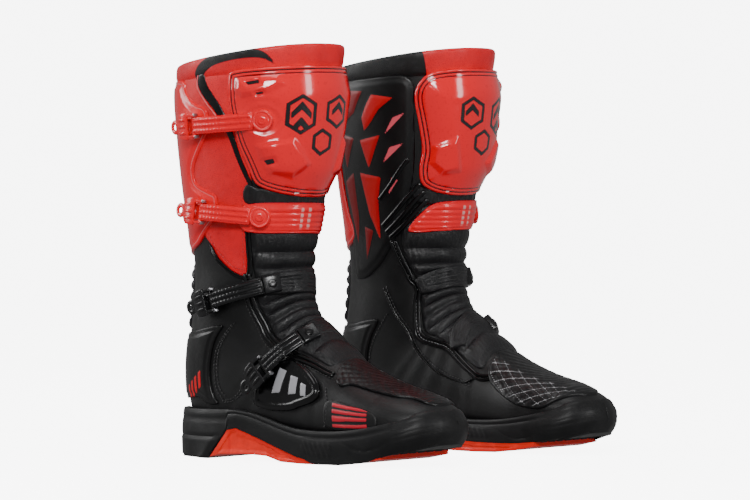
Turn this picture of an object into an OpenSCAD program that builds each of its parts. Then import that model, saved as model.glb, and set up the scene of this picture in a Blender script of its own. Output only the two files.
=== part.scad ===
// A pair of moulded off-road riding boots. Each boot is lofted over one parametric skin, and
// every panel, shell and pad is a slab of that skin between two offsets from it.

/* [Pair] */
// Distance between the two boots' centre planes
boot_gap = 234; // [170:1:320]

/* [Shell] */
// Thickness of the foot and shaft shells
shell_t = 3; // [2:0.1:3.2]
// Thickness of the padded liner in the shaft
liner_t = 4.4; // [2.5:0.1:5]
// Thickness of the sewn outer panels
panel_t = 1.8; // [1.2:0.1:2]
// Air gap left between stacked layers
layer_gap = 0.6; // [0.5:0.05:0.7]
// Crown of the shin plate over its rim
shin_crown = 6; // [2:0.5:8]

/* [Sole] */
// Rise of the toe over the ground
toe_spring = 20; // [10:1:22]
// Wall thickness of the rubber cup
cup_wall = 3.6; // [2.5:0.1:3.8]
// Thickness of the steel shank
shank_t = 1.6; // [1:0.1:2]

/* [Buckles] */
// Width of a strap
strap_w = 16; // [12:1:18]
// Thickness of a strap under its ridges
strap_t = 2.6; // [2:0.1:3]
// Width of a buckle lever
lever_w = 25; // [24:1:28]
// Radius of the trunnion that a lever turns on
pin_r = 1.8; // [1.4:0.1:2]
// Radius of a rivet's shank
rivet_r = 1.6; // [1:0.1:2]

/* [Hidden] */
$fn = 32;
// Boot length midpoint, so that the pair's box is centred on the origin
mid_x = 156.5;
running = 0.06;

RED = "#e01a1c";
BLACK = "#17171a";
STEEL = "#9a9ca0";

// One ring of the skin per row, from the toe tip up to the shaft's rim:
// front (or top) point x, z; back (or bottom) point x, z; half width on the outer and the
// inner side; where the widest line lies from back to front; roundness in front and behind.
RINGS = [
    [309, 47, 309, 34, 14, 14, .50, 2.0, 2.0],
    [304, 53, 304, 31, 27, 26, .45, 2.1, 2.3],
    [294, 59, 294, 28, 38, 36, .42, 2.2, 2.5],
    [272, 66, 275, 22.5, 46, 44, .40, 2.3, 2.8],
    [238, 75, 244, 17, 50, 47, .40, 2.3, 2.9],
    [204, 90, 208, 15.5, 48, 43, .38, 2.2, 3.0],
    [177, 109, 166, 15, 45, 40, .38, 2.2, 3.0],
    [161, 121, 112, 15, 43, 40, .38, 2.2, 2.8],
    [150, 130, 62, 15, 42, 40, .42, 2.2, 2.5],
    [143, 138, 24, 20, 42, 40, .46, 2.2, 2.2],
    [138, 147, 7, 44, 42, 41, .50, 2.2, 2.2],
    [134, 156, 4, 80, 43, 42, .50, 2.2, 2.2],
    [132, 165, 9, 118, 44, 43, .50, 2.2, 2.2],
    [131, 175, 14, 152, 45, 44, .50, 2.2, 2.2],
    [131, 188, 15, 180, 46, 46, .50, 2.2, 2.2],
    [134, 212, 13, 212, 50, 49, .50, 2.2, 2.2],
    [142, 255, 8, 255, 57, 56, .50, 2.2, 2.2],
    [149, 300, 4, 300, 63, 62, .50, 2.25, 2.2],
    [156, 345, 1, 340, 66, 65, .50, 2.3, 2.2],
    [161, 388, 4, 366, 66, 65, .50, 2.3, 2.2],
];
RIM = len(RINGS) - 1;

// One section of the cup sole per row, from heel to toe: x; half width on the outer and the
// inner side; height of the rim; height of the ground face; lower edge of the black skin on
// the outer and the inner side; underside of the black floor.
SOLE = [
    [-2, 5, 5, 45, 3, 5, 5, 3],
    [-0.6, 13, 13, 46, 1, 3, 3, 1],
    [1.2, 18, 17.5, 46, 0, 2, 2, 0],
    [3, 22, 21, 46, 0, 2, 2, 0],
    [12, 31, 30, 46, 0, 2, 2, 0],
    [26, 38.5, 37, 46, 0, 2, 2, 0],
    [45, 44, 42.5, 46, 0, 2, 2, 0],
    [65, 47, 45.5, 46.5, 0, 2, 2, 0],
    [79, 48, 46, 47, 0, 2, 2, 0],
    [82, 48, 46, 47, 1.5, 28, 28, 9.6],
    [92, 48.5, 46, 47, 4.5, 30, 30, 9.6],
    [110, 49, 46, 45, 6, 25.5, 25, 9.6],
    [132, 50.5, 46.5, 40, 5, 18, 17, 9.2],
    [150, 52, 47.5, 35.5, 0.6, 12.5, 13, 6],
    [170, 53.5, 49, 32, 0, 6.5, 11, 5.2],
    [195, 55, 51.5, 31, 0, 2.6, 10, 5.2],
    [222, 56, 53.5, 32, 0.8, 2.8, 10, 5.6],
    [246, 55.5, 53, 35, 3.4, 5.4, 10.5, 8],
    [268, 53, 51, 39.5, 7.5, 9.5, 12.5, 12],
    [286, 48, 46.5, 44.5, 12, 14, 14.5, 15],
    [299, 40.5, 39.5, 49.5, 15.8, 17.8, 17.8, 15.8],
    [306, 33, 32, 51.5, 18, 20, 20, 18],
    [310.6, 24, 23.5, 52.3, 19.5, 21.5, 21.5, 19.5],
    [313.2, 16, 15.5, 52.5, 20.6, 22.6, 22.6, 20.6],
    [315, 6, 6, 51, 23, 25, 25, 23],
];
HEEL_END = 2;
TOE_END = 23;
INSERT_FROM = 9;
INSERT_TO = 19;
floor_z = 12.2;

// Each strap from the top down: where its round end is riveted and where it meets its
// buckle, as [ring, angle] on the skin; height over the skin at the one and at the other;
// depth of the rivet under the round end, and of the two under the buckle's base.
STRAPS = [
    [[17.4, 50], [17.3, 98], 11.5, 8.6, 13.5, 6.6, 5],
    [[15.4, 50], [15.5, 98], 6.8, 8.6, 8.3, 6.8, 6.4],
    [[12.3, 38], [12.4, 92], 6.8, 8.6, 8.3, 6.6, 5.2],
    [[6.95, 26], [7.6, 70], 6.8, 9.6, 8.3, 7.6, 5.6],
];
// Distance from the middle of the round end to the neck that the strap bends at.
neck = 10.2;
// Tilt of the closed lever towards the boot.
tilt = 6;

function cubic(rows, t) =
    let (i = min(max(floor(t), 0), len(rows) - 2), f = t - i,
         a = rows[max(i - 1, 0)], b = rows[i], c = rows[i + 1],
         d = rows[min(i + 2, len(rows) - 1)])
    0.5 * (2 * b + f * (c - a) + f * f * (2 * a - 5 * b + 4 * c - d)
           + f * f * f * (3 * b - a - 3 * c + d));

function power(v, n) = sign(v) * pow(abs(v), 2 / n);

// A point of the skin: ring t from the toe, angle u from the front centre line (positive to
// the outer side), and distance out of the skin.
function skin(t, u, out = 0) =
    let (r = cubic(RINGS, t), back = [r[2], r[3]], chord = [r[0], r[1]] - back,
         span = norm(chord), e = chord / span, mid = back + r[6] * chord,
         c = cos(u), s = sin(u), n = c > 0 ? r[7] : r[8],
         p = ((c > 0 ? (1 - r[6]) : r[6]) * span + out) * power(c, n),
         q = ((s > 0 ? r[4] : r[5]) + out) * power(s, n))
    [mid[0] + e[0] * p, -q, mid[1] + e[1] * p];

function unit(v) = v / norm(v);

// Closed solid over a grid of the skin. u, t, lo and hi are functions of the shares a and b
// across and along the grid; t also takes 0 for the outer face and 1 for the inner one.
// A ring goes right round, and a capped one is closed over its first row.
module slab(na, nb, u, t, lo, hi, ring = false, cap = false) {
    cols = ring ? na : na + 1;
    rows = nb + 1;
    face = rows * cols;
    function spot(i, j, k) =
        let (a = i / na, b = j / nb, uu = u(a, b))
        skin(t(a, b, k), uu, k == 0 ? hi(a, b) : lo(a, b));
    function id(i, j, k) = k * face + j * cols + (ring ? i % na : i);
    function two(p, q, r, s) = [[p, q, r], [p, r, s]];
    function middle(k) =
        let (ends = [for (i = [0 : cols - 1]) spot(i, 0, k)])
        [for (d = [0 : 2]) [for (e = ends) e[d]] * [for (e = ends) 1] / cols];
    points = concat([for (k = [0, 1]) for (j = [0 : nb]) for (i = [0 : cols - 1]) spot(i, j, k)],
                    cap ? [middle(0), middle(1)] : []);
    outer = [for (j = [0 : nb - 1]) for (i = [0 : na - 1]) for (f = two(
        id(i, j, 0), id(i + 1, j, 0), id(i + 1, j + 1, 0), id(i, j + 1, 0))) f];
    inner = [for (j = [0 : nb - 1]) for (i = [0 : na - 1]) for (f = two(
        id(i, j + 1, 1), id(i + 1, j + 1, 1), id(i + 1, j, 1), id(i, j, 1))) f];
    top = [for (i = [0 : na - 1]) for (f = two(
        id(i, nb, 0), id(i + 1, nb, 0), id(i + 1, nb, 1), id(i, nb, 1))) f];
    bottom = cap
        ? concat([for (i = [0 : na - 1]) [2 * face, id(i + 1, 0, 0), id(i, 0, 0)]],
                 [for (i = [0 : na - 1]) [2 * face + 1, id(i, 0, 1), id(i + 1, 0, 1)]])
        : [for (i = [0 : na - 1]) for (f = two(
            id(i, 0, 1), id(i + 1, 0, 1), id(i + 1, 0, 0), id(i, 0, 0))) f];
    sides = ring ? [] : [for (j = [0 : nb - 1]) for (f = concat(
        two(id(0, j, 1), id(0, j, 0), id(0, j + 1, 0), id(0, j + 1, 1)),
        two(id(na, j + 1, 1), id(na, j + 1, 0), id(na, j, 0), id(na, j, 1)))) f];
    polyhedron(points, concat(outer, inner, top, bottom, sides), convexity = 8);
}

// Closed solid over an outline of [ring, angle] corners, shrunk in steps to its middle.
module patch(outline, steps, lo, hi) {
    n = len(outline);
    centre = [for (d = [0, 1]) [for (p = outline) p[d]] * [for (p = outline) 1] / n];
    face = n * steps + 1;
    function spot(i, j, k) =
        let (p = centre + (outline[i] - centre) * (1 - j / steps))
        skin(p[0], p[1], k == 0 ? hi(j / steps) : lo);
    function id(i, j, k) = k * face + (j == steps ? n * steps : j * n + i % n);
    function fan(k, flip) = [for (j = [0 : steps - 1]) for (i = [0 : n - 1])
        let (p = id(i, j, k), q = id(i + 1, j, k), r = id(i + 1, j + 1, k), s = id(i, j + 1, k))
        for (f = j == steps - 1 ? [[p, q, r]] : [[p, q, r], [p, r, s]])
            flip ? [f[2], f[1], f[0]] : f];
    points = [for (k = [0, 1]) for (j = [0 : steps]) for (i = [0 : (j == steps ? 0 : n - 1)])
        spot(i, j, k)];
    rim = [for (i = [0 : n - 1]) for (f = [
        [id(i, 0, 1), id(i + 1, 0, 1), id(i + 1, 0, 0)],
        [id(i, 0, 1), id(i + 1, 0, 0), id(i, 0, 0)]]) f];
    polyhedron(points, concat(fan(0, false), fan(1, true), rim), convexity = 6);
}

// Loft through closed sections that all have the same number of [y, z] corners.
module loft(xs, sections) {
    n = len(sections[0]);
    m = len(sections);
    points = [for (j = [0 : m - 1]) for (p = sections[j]) [xs[j], p[0], p[1]]];
    walls = [for (j = [0 : m - 2]) for (i = [0 : n - 1])
        let (p = j * n + i, q = j * n + (i + 1) % n)
        for (f = [[p, q, q + n], [p, q + n, p + n]]) f];
    polyhedron(points, concat(walls, [[for (i = [n - 1 : -1 : 0]) i]],
                              [[for (i = [0 : n - 1]) (m - 1) * n + i]]), convexity = 8);
}

// --- sole -------------------------------------------------------------------------------

function spring(x) = x < 200 ? 0 : (toe_spring - 20) * pow((x - 200) / 111, 2);

function cup_section(i) =
    let (s = SOLE[i], lift = spring(s[0]), rim = s[3],
         open = i > HEEL_END && i < TOE_END,
         well = open ? max(floor_z, s[7] + 2.6) + lift : rim - 0.4,
         wo = min(cup_wall, s[1] * 0.4), wi = min(cup_wall, s[2] * 0.4),
         step = i >= INSERT_FROM && i <= INSERT_TO ? 3.2 : 2)
    [[-s[1], s[5] + lift], [-s[1], rim], [-s[1] + wo, rim], [-s[1] + wo + 0.4, well],
     [s[2] - wi - 0.4, well], [s[2] - wi, rim], [s[2], rim], [s[2], s[6] + lift],
     [s[2] - step, s[6] + lift - 0.05], [s[2] - step, s[7] + lift],
     [-s[1] + step, s[7] + lift], [-s[1] + step, s[5] + lift - 0.05]];

module outsole() {
    color(BLACK)
    loft([for (s = SOLE) s[0]], [for (i = [0 : len(SOLE) - 1]) cup_section(i)]);
}

function insert_section(i) =
    let (s = SOLE[i], lift = spring(s[0]), low = s[4] + lift, high = s[7] + lift - 0.3,
         a = s[5] > s[7] ? 2.7 : 3.6, b = s[6] > s[7] ? 2.7 : 3.6)
    [[-s[1], low + 0.4], [-s[1], s[5] + lift - 0.3], [-s[1] + a, s[5] + lift - 0.3],
     [-s[1] + a, high], [s[2] - b, high], [s[2] - b, s[6] + lift - 0.3],
     [s[2], s[6] + lift - 0.3], [s[2], low + 0.4], [s[2] - 3, low], [-s[1] + 3, low]];

module sole_insert() {
    color(RED)
    loft([for (i = [INSERT_FROM : INSERT_TO]) SOLE[i][0] + (i == INSERT_FROM ? 0.4 : 0)],
         [for (i = [INSERT_FROM : INSERT_TO]) insert_section(i)]);
}

module shank() {
    color(STEEL)
    translate([60, 0, floor_z + 0.4])
    linear_extrude(shank_t) {
        translate([0, -10])
        square([115, 20]);
        circle(r = 10);
        translate([115, 0])
        circle(r = 10);
    }
}

// --- inside -----------------------------------------------------------------------------

sole_u = 48;

module insole_board() {
    color("tan")
    slab(8, 12, function(a, b) 180 + sole_u * (2 * a - 1), function(a, b, k) 2.2 + 6 * b,
         function(a, b) -shell_t - 2.7, function(a, b) -shell_t - 0.9);
}

module footbed() {
    color("dimgray")
    slab(8, 12, function(a, b) 180 + sole_u * (2 * a - 1), function(a, b, k) 2.3 + 5.9 * b,
         function(a, b) -shell_t - 10.4 - 0.8 * b, function(a, b) -shell_t - 7.2 - 1.6 * b);
}

// The liner stands off further round the foot, where the insole board lies under it.
function liner_ring(b, k) = (k == 0 ? 1.35 : 1.9) * (1 - b) + 18.5 * b;
function liner_face(b) = -shell_t - 0.9 - 2.6 * max(0, min(1, (12.2 - liner_ring(b, 0)) / 1.2));

module liner() {
    color("#2a2a2e")
    slab(30, 18, function(a, b) 360 * a, function(a, b, k) liner_ring(b, k),
         function(a, b) min(-shell_t - 0.9 - liner_t, liner_face(b) - 2.2), function(a, b) liner_face(b),
         ring = true, cap = true);
}

// --- shells -----------------------------------------------------------------------------

// The two shells part round the ankle along these lines, which open in front and behind so
// that the shaft can lean on the ankle.
function turn(u) = min(u, 360 - u) / 180;
function foot_edge(u) = 8.4 + 8.1 * turn(u) - 4.4 * turn(u) * turn(u);
function shaft_edge(u) = 10.7 + 2.7 * turn(u) - 0.5 * turn(u) * turn(u);

module foot_shell() {
    color(BLACK)
    slab(30, 14, function(a, b) 360 * a,
         function(a, b, k) (k == 0 ? 0 : 1) * (1 - b) + foot_edge(360 * a) * b,
         function(a, b) -shell_t, function(a, b) 0, ring = true, cap = true);
}

module shaft_shell() {
    color(RED)
    slab(30, 9, function(a, b) 360 * a,
         function(a, b, k) shaft_edge(360 * a) * (1 - b) + 18.45 * b,
         function(a, b) -shell_t, function(a, b) 0, ring = true);
}

module collar() {
    color(RED)
    slab(30, 4, function(a, b) 360 * a,
         function(a, b, k) 18.55 + 0.62 * b + (k == 0 ? 0 : 0.01),
         function(a, b) -9 + 3 * pow(b, 3), function(a, b) 1 + 2.5 * sin(180 * b) - 3 * pow(b, 6),
         ring = true);
}

// --- panels -----------------------------------------------------------------------------

// Outer border of the calf plate, as [ring, angle].
CALF_OUT = [[14.6, 122], [15, 106], [15.3, 93], [15.7, 89], [16, 100], [16.3, 113],
            [16.7, 103], [17.2, 92], [17.6, 92], [18, 106], [18.4, 116]];

module calf_plate() {
    color(RED)
    slab(10, 12,
         function(a, b) lookup(14.6 + 3.8 * b, CALF_OUT) * (1 - a) + (232 - 8 * b) * a,
         function(a, b, k) 14.6 + 3.8 * b - 0.35 * (1 - b) * sin(180 * a),
         function(a, b) layer_gap + 0.5, function(a, b) layer_gap + 0.5 + panel_t);
}

module calf_guard() {
    color(BLACK)
    slab(8, 8, function(a, b) (237 - 8 * b) * (1 - a) + (300 + 4 * b) * a,
         function(a, b, k) (13 + 1.5 * a) * (1 - b) + 18.4 * b,
         function(a, b) layer_gap, function(a, b) layer_gap + panel_t);
}

SHIN = [[16.15, 54], [16.5, 61], [16.9, 68], [17.3, 73], [17.8, 76], [18.3, 76],
        [18.44, 68], [18.45, 48], [18.45, 24], [18.45, 0], [18.45, -24],
        [18.42, -44], [18.25, -52], [17.9, -53], [17.4, -49], [16.9, -46],
        [16.4, -45], [16.05, -38], [15.85, -24], [15.78, -8], [15.8, 12],
        [15.85, 30], [15.95, 46]];

module shin_plate() {
    color(RED)
    patch(SHIN, 5, 4.2, function(s) 6.6 + shin_crown * pow(sin(90 * s), 1.5));
}

// The band narrows to a round outer end and tapers to a slanted inner one.
function band_half(a) = 0.32 * sqrt(max(0.06, 1 - pow(max(0, (0.14 - a) / 0.14), 2)))
                        * (1 - 0.55 * max(0, (a - 0.86) / 0.14));

module front_band() {
    color(RED)
    slab(16, 3, function(a, b) (116 * a - 52) - 7 * (1 - b) * (1 - a),
         function(a, b, k) 15.3 + 0.06 * a + (2 * b - 1) * band_half(1 - a),
         function(a, b) 4.2, function(a, b) 5.8 - 0.8 * max(0, (a - 0.84) / 0.16));
}

module front_bellows() {
    color(BLACK)
    slab(14, 20, function(a, b) (50 + 10 * b - 8 * sin(180 * b)) * a - (48 + 8 * b) * (1 - a),
         function(a, b, k) 7.9 + 8 * b,
         function(a, b) 0.6, function(a, b) 2 + 2 * abs(sin(180 * 10 * b)));
}

module rear_bellows() {
    color(BLACK)
    slab(6, 12, function(a, b) 152 + 56 * a, function(a, b, k) 12 + 2.2 * b,
         function(a, b) 1.1, function(a, b) 2.2 + 2 * abs(sin(180 * 6 * b)));
}

// Lower border of the heel counter, just over the cup's rim, by angle off the front.
COUNTER_LOW = [[100, 8.1], [107, 9.05], [122, 9.75], [137, 10.05], [180, 10.35]];

module heel_counter() {
    color(BLACK)
    slab(14, 5, function(a, b) 103 + 154 * a,
         function(a, b, k) let (u = 103 + 154 * a)
             lookup(min(u, 360 - u), COUNTER_LOW) * (1 - b) + (foot_edge(u) - 0.15) * b,
         function(a, b) layer_gap, function(a, b) layer_gap + panel_t);
}

GUARD = [[7.1, 53], [6.5, 54], [6, 56], [5.55, 61], [5.4, 68], [5.42, 75], [5.65, 82],
         [6, 88], [6.5, 91], [7, 93], [7.4, 91], [7.6, 84], [7.65, 74], [7.5, 62]];

module ankle_guard() {
    color(BLACK)
    patch(GUARD, 2, layer_gap, function(s) layer_gap + 2.4);
}

PAD = [[5.25, 8], [5.25, -20], [5.1, -48], [4.6, -60], [3.8, -64], [3, -60],
       [2.2, -40], [1.7, -20], [1.6, 0], [1.7, 18], [2.2, 27], [3, 31],
       [3.8, 34], [4.5, 36], [5.1, 30]];

module shift_pad() {
    color(BLACK)
    patch(PAD, 6, layer_gap + 1, function(s) layer_gap + 1 + panel_t);
}

// --- straps and buckles -----------------------------------------------------------------

// Circle through three points of a strap's run: centre, axis, and direction to the anchor.
function run(k) =
    let (s = STRAPS[k], a = skin(s[0][0], s[0][1], s[2]), z = skin(s[1][0], s[1][1], s[3]),
         m = skin((s[0][0] + s[1][0]) / 2, (s[0][1] + s[1][1]) / 2, (s[2] + s[3]) / 2),
         p = a - m, q = z - m, n = cross(p, q),
         centre = m + cross((p * p) * q - (q * q) * p, n) / (2 * n * n),
         ez = -unit(n), ex = unit(a - centre), ey = cross(ez, ex), far = z - centre)
    [centre, ez, ex, ey, norm(a - centre), atan2(far * ey, far * ex)];

module on_run(k, angle = 0) {
    r = run(k);
    ex = r[2] * cos(angle) + r[3] * sin(angle);
    ey = r[3] * cos(angle) - r[2] * sin(angle);
    o = r[0] + ex * r[4];
    multmatrix([[ey[0], r[1][0], ex[0], o[0]], [ey[1], r[1][1], ex[1], o[1]],
                [ey[2], r[1][2], ex[2], o[2]], [0, 0, 0, 1]])
    children();
}

// The frame of a closed buckle: its origin on the trunnion, x towards the lever's free end.
module on_buckle(k) {
    on_run(k, run(k)[5])
    translate([0, 0, strap_t / 2])
    rotate([0, tilt, 0])
    children();
}

module bar(r, length) {
    rotate([90, 0, 0])
    cylinder(r = r, h = length, center = true);
}

// A strap: a ridged ribbon bent on its run, from its neck to a trunnion in the buckle.
module strap(k) {
    r = run(k);
    first = neck / r[4] * 180 / PI;
    side = strap_w / 2;
    multmatrix([[r[2][0], r[3][0], r[1][0], r[0][0]], [r[2][1], r[3][1], r[1][1], r[0][1]],
                [r[2][2], r[3][2], r[1][2], r[0][2]], [0, 0, 0, 1]])
    rotate([0, 0, first + 0.2])
    rotate_extrude(angle = r[5] - first - 0.4, $fn = 120)
    polygon([[r[4], -side], [r[4] + strap_t, -side],
             for (y = [-5, 0, 5]) each [[r[4] + strap_t, y - 1.6], [r[4] + strap_t + 0.9, y - 1],
                                        [r[4] + strap_t + 0.9, y + 1], [r[4] + strap_t, y + 1.6]],
             [r[4] + strap_t, side], [r[4], side]]);
    on_run(k, first)
    translate([0, 0, strap_t / 2])
    bar(strap_t / 2 + 0.35, strap_w - 0.6);
    on_run(k, r[5])
    translate([0, 0, strap_t / 2])
    bar(pin_r, strap_w + 7);
}

// A lever: two ears on the trunnion, a plate over the buckle's base and a finger loop.
module lever(k) {
    ear_y = strap_w / 2 + 0.5;
    ear_t = 2.6;
    plate_z = 3.1;
    on_buckle(k)
    difference() {
        union() {
            translate([4.8, -lever_w / 2, plate_z])
            cube([15, lever_w, 2]);
            translate([19, -7, plate_z])
            cube([7, 14, 2]);
            translate([26, 0, plate_z])
            cylinder(r = 7, h = 2);
            for (side = [ear_y, -ear_y - ear_t])
                translate([-3.2, side, -3])
                cube([12, ear_t, plate_z + 4]);
        }
        bar(pin_r + running, lever_w + 6);
        translate([26, 0, 0])
        cylinder(r = 1.9, h = 20, center = true);
    }
}

// A buckle's base: a riveted plate with a catch bar between two cheeks, under the lever.
module base(k) {
    on_buckle(k)
    difference() {
        union() {
            translate([-3, -7.5, -4.6])
            cube([24, 15, 1.6]);
            for (y = [-7.5, 5.5])
                translate([11.5, y, -3.4])
                cube([5, 2, 5]);
            translate([14, 0, 0])
            bar(1.2, 13);
        }
        for (x = [1, 18.5])
            translate([x, 0, -6])
            cylinder(r = rivet_r, h = 4);
    }
}

// The riveted round end of a strap, and the two rivets of its buckle's base.
module fasteners(k) {
    s = STRAPS[k];
    on_run(k) {
        cylinder(r = strap_w / 2, h = strap_t + 0.6);
        cylinder(r = 4.2, h = strap_t + 1.4);
        translate([0, 0, -s[4]])
        cylinder(r = rivet_r, h = s[4] + 1);
    }
    on_buckle(k)
    for (rivet = [[1, s[5]], [18.5, s[6]]])
        translate([rivet[0], 0, -4.6 - rivet[1]]) {
            cylinder(r = rivet_r, h = rivet[1] + 2);
            translate([0, 0, rivet[1] + 1.6])
            cylinder(r = 2.8, h = 0.8);
        }
}

// --- assembly ---------------------------------------------------------------------------

module instep_buckle_base() {
    color(BLACK)
    base(3);
}

module foot_fasteners() {
    color(STEEL)
    fasteners(3);
}

module buckle_bases() {
    color(RED)
    for (k = [0 : 2]) base(k);
}

module shaft_fasteners() {
    color(STEEL)
    for (k = [0 : 2]) fasteners(k);
}

module top_strap() {
    color(RED)
    strap(0);
}

module calf_strap() {
    color(RED)
    strap(1);
}

module ankle_strap() {
    color(BLACK)
    strap(2);
}

module instep_strap() {
    color(BLACK)
    strap(3);
}

module top_lever() {
    color(RED)
    lever(0);
}

module calf_lever() {
    color(RED)
    lever(1);
}

module ankle_lever() {
    color(BLACK)
    lever(2);
}

module instep_lever() {
    color(BLACK)
    lever(3);
}

module right() {
    translate([-mid_x, -boot_gap / 2, 0])
    children();
}

module left() {
    translate([-mid_x, boot_gap / 2, 0])
    mirror([0, 1, 0])
    children();
}

right() outsole();  // right_outsole
right() sole_insert();  // right_sole_insert
right() shank();  // right_shank
right() insole_board();  // right_insole_board
right() footbed();  // right_footbed
right() foot_shell();  // right_foot_shell
right() heel_counter();  // right_heel_counter
right() shift_pad();  // right_shift_pad
right() ankle_guard();  // right_ankle_guard
right() instep_buckle_base();  // right_instep_buckle_base
right() foot_fasteners();  // right_foot_fasteners
right() shaft_shell();  // right_shaft_shell
right() calf_guard();  // right_calf_guard
right() calf_plate();  // right_calf_plate
right() shin_plate();  // right_shin_plate
right() front_band();  // right_front_band
right() collar();  // right_collar
right() liner();  // right_liner
right() front_bellows();  // right_front_bellows
right() rear_bellows();  // right_rear_bellows
right() buckle_bases();  // right_buckle_bases
right() shaft_fasteners();  // right_shaft_fasteners
right() top_strap();  // right_top_strap
right() calf_strap();  // right_calf_strap
right() ankle_strap();  // right_ankle_strap
right() instep_strap();  // right_instep_strap
right() top_lever();  // right_top_lever
right() calf_lever();  // right_calf_lever
right() ankle_lever();  // right_ankle_lever
right() instep_lever();  // right_instep_lever
left() outsole();  // left_outsole
left() sole_insert();  // left_sole_insert
left() shank();  // left_shank
left() insole_board();  // left_insole_board
left() footbed();  // left_footbed
left() foot_shell();  // left_foot_shell
left() heel_counter();  // left_heel_counter
left() shift_pad();  // left_shift_pad
left() ankle_guard();  // left_ankle_guard
left() instep_buckle_base();  // left_instep_buckle_base
left() foot_fasteners();  // left_foot_fasteners
left() shaft_shell();  // left_shaft_shell
left() calf_guard();  // left_calf_guard
left() calf_plate();  // left_calf_plate
left() shin_plate();  // left_shin_plate
left() front_band();  // left_front_band
left() collar();  // left_collar
left() liner();  // left_liner
left() front_bellows();  // left_front_bellows
left() rear_bellows();  // left_rear_bellows
left() buckle_bases();  // left_buckle_bases
left() shaft_fasteners();  // left_shaft_fasteners
left() top_strap();  // left_top_strap
left() calf_strap();  // left_calf_strap
left() ankle_strap();  // left_ankle_strap
left() instep_strap();  // left_instep_strap
left() top_lever();  // left_top_lever
left() calf_lever();  // left_calf_lever
left() ankle_lever();  // left_ankle_lever
left() instep_lever();  // left_instep_lever
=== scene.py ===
import math
import bpy
import numpy as np
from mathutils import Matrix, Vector


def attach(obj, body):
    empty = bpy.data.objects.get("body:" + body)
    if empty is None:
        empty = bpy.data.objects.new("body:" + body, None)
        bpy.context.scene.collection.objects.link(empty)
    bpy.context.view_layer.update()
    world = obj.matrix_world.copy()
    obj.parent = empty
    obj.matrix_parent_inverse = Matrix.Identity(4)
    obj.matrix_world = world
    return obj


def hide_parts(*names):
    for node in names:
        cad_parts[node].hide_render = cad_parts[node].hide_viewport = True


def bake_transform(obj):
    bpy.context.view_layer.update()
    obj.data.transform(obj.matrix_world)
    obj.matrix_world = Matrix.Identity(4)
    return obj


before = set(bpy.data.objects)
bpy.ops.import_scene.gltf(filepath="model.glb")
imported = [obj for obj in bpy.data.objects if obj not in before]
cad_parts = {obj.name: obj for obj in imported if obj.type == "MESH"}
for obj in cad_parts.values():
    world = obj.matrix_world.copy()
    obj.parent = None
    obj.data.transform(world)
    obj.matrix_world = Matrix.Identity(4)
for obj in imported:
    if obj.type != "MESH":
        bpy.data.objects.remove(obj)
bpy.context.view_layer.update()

MID_X, HALF_GAP = 156.5, 117.0

# ---------------------------------------------------------------- the skin, as in the CAD model

RINGS = np.array([
    [309, 47, 309, 34, 14, 14, .50, 2.0, 2.0],
    [304, 53, 304, 31, 27, 26, .45, 2.1, 2.3],
    [294, 59, 294, 28, 38, 36, .42, 2.2, 2.5],
    [272, 66, 275, 22.5, 46, 44, .40, 2.3, 2.8],
    [238, 75, 244, 17, 50, 47, .40, 2.3, 2.9],
    [204, 90, 208, 15.5, 48, 43, .38, 2.2, 3.0],
    [177, 109, 166, 15, 45, 40, .38, 2.2, 3.0],
    [161, 121, 112, 15, 43, 40, .38, 2.2, 2.8],
    [150, 130, 62, 15, 42, 40, .42, 2.2, 2.5],
    [143, 138, 24, 20, 42, 40, .46, 2.2, 2.2],
    [138, 147, 7, 44, 42, 41, .50, 2.2, 2.2],
    [134, 156, 4, 80, 43, 42, .50, 2.2, 2.2],
    [132, 165, 9, 118, 44, 43, .50, 2.2, 2.2],
    [131, 175, 14, 152, 45, 44, .50, 2.2, 2.2],
    [131, 188, 15, 180, 46, 46, .50, 2.2, 2.2],
    [134, 212, 13, 212, 50, 49, .50, 2.2, 2.2],
    [142, 255, 8, 255, 57, 56, .50, 2.2, 2.2],
    [149, 300, 4, 300, 63, 62, .50, 2.25, 2.2],
    [156, 345, 1, 340, 66, 65, .50, 2.3, 2.2],
    [161, 388, 4, 366, 66, 65, .50, 2.3, 2.2]], float)


def cubic(rows, t):
    t = np.asarray(t, float)
    i = np.clip(np.floor(t).astype(int), 0, len(rows) - 2)
    f = (t - i)[..., None]
    a, b, c = rows[np.maximum(i - 1, 0)], rows[i], rows[i + 1]
    d = rows[np.minimum(i + 2, len(rows) - 1)]
    return .5 * (2 * b + f * (c - a) + f**2 * (2 * a - 5 * b + 4 * c - d)
                 + f**3 * (3 * b - a - 3 * c + d))


def skin(t, u, out=0.0):
    """Points of one boot's skin in mm: ring t from the toe, angle u from the front (outer side positive)."""
    t, u, out = np.broadcast_arrays(np.asarray(t, float), np.asarray(u, float), np.asarray(out, float))
    r = cubic(RINGS, t)
    bx, bz = r[..., 2], r[..., 3]
    ex, ez = r[..., 0] - bx, r[..., 1] - bz
    span = np.hypot(ex, ez)
    ex, ez = ex / span, ez / span
    m = r[..., 6]
    c, s = np.cos(np.radians(u)), np.sin(np.radians(u))
    n = np.where(c > 0, r[..., 7], r[..., 8])
    p = (np.where(c > 0, 1 - m, m) * span + out) * np.sign(c) * np.abs(c) ** (2 / n)
    q = (np.where(s > 0, r[..., 4], r[..., 5]) + out) * np.sign(s) * np.abs(s) ** (2 / n)
    return np.stack([bx + ex * (m * span + p), -q, bz + ez * (m * span + p)], -1)


def smooth(a, b, x):
    k = np.clip((x - a) / (b - a), 0, 1)
    return k * k * (3 - 2 * k)


def groove(x, centre, width):
    return -np.exp(-((x - centre) / width) ** 2)


def rounded(points, passes=3):
    """Chaikin corner cutting of a closed outline."""
    p = np.array(points, float)
    for _ in range(passes):
        q = np.roll(p, -1, 0)
        p = np.stack([.78 * p + .22 * q, .22 * p + .78 * q], 1).reshape(-1, 2)
    return p


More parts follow.
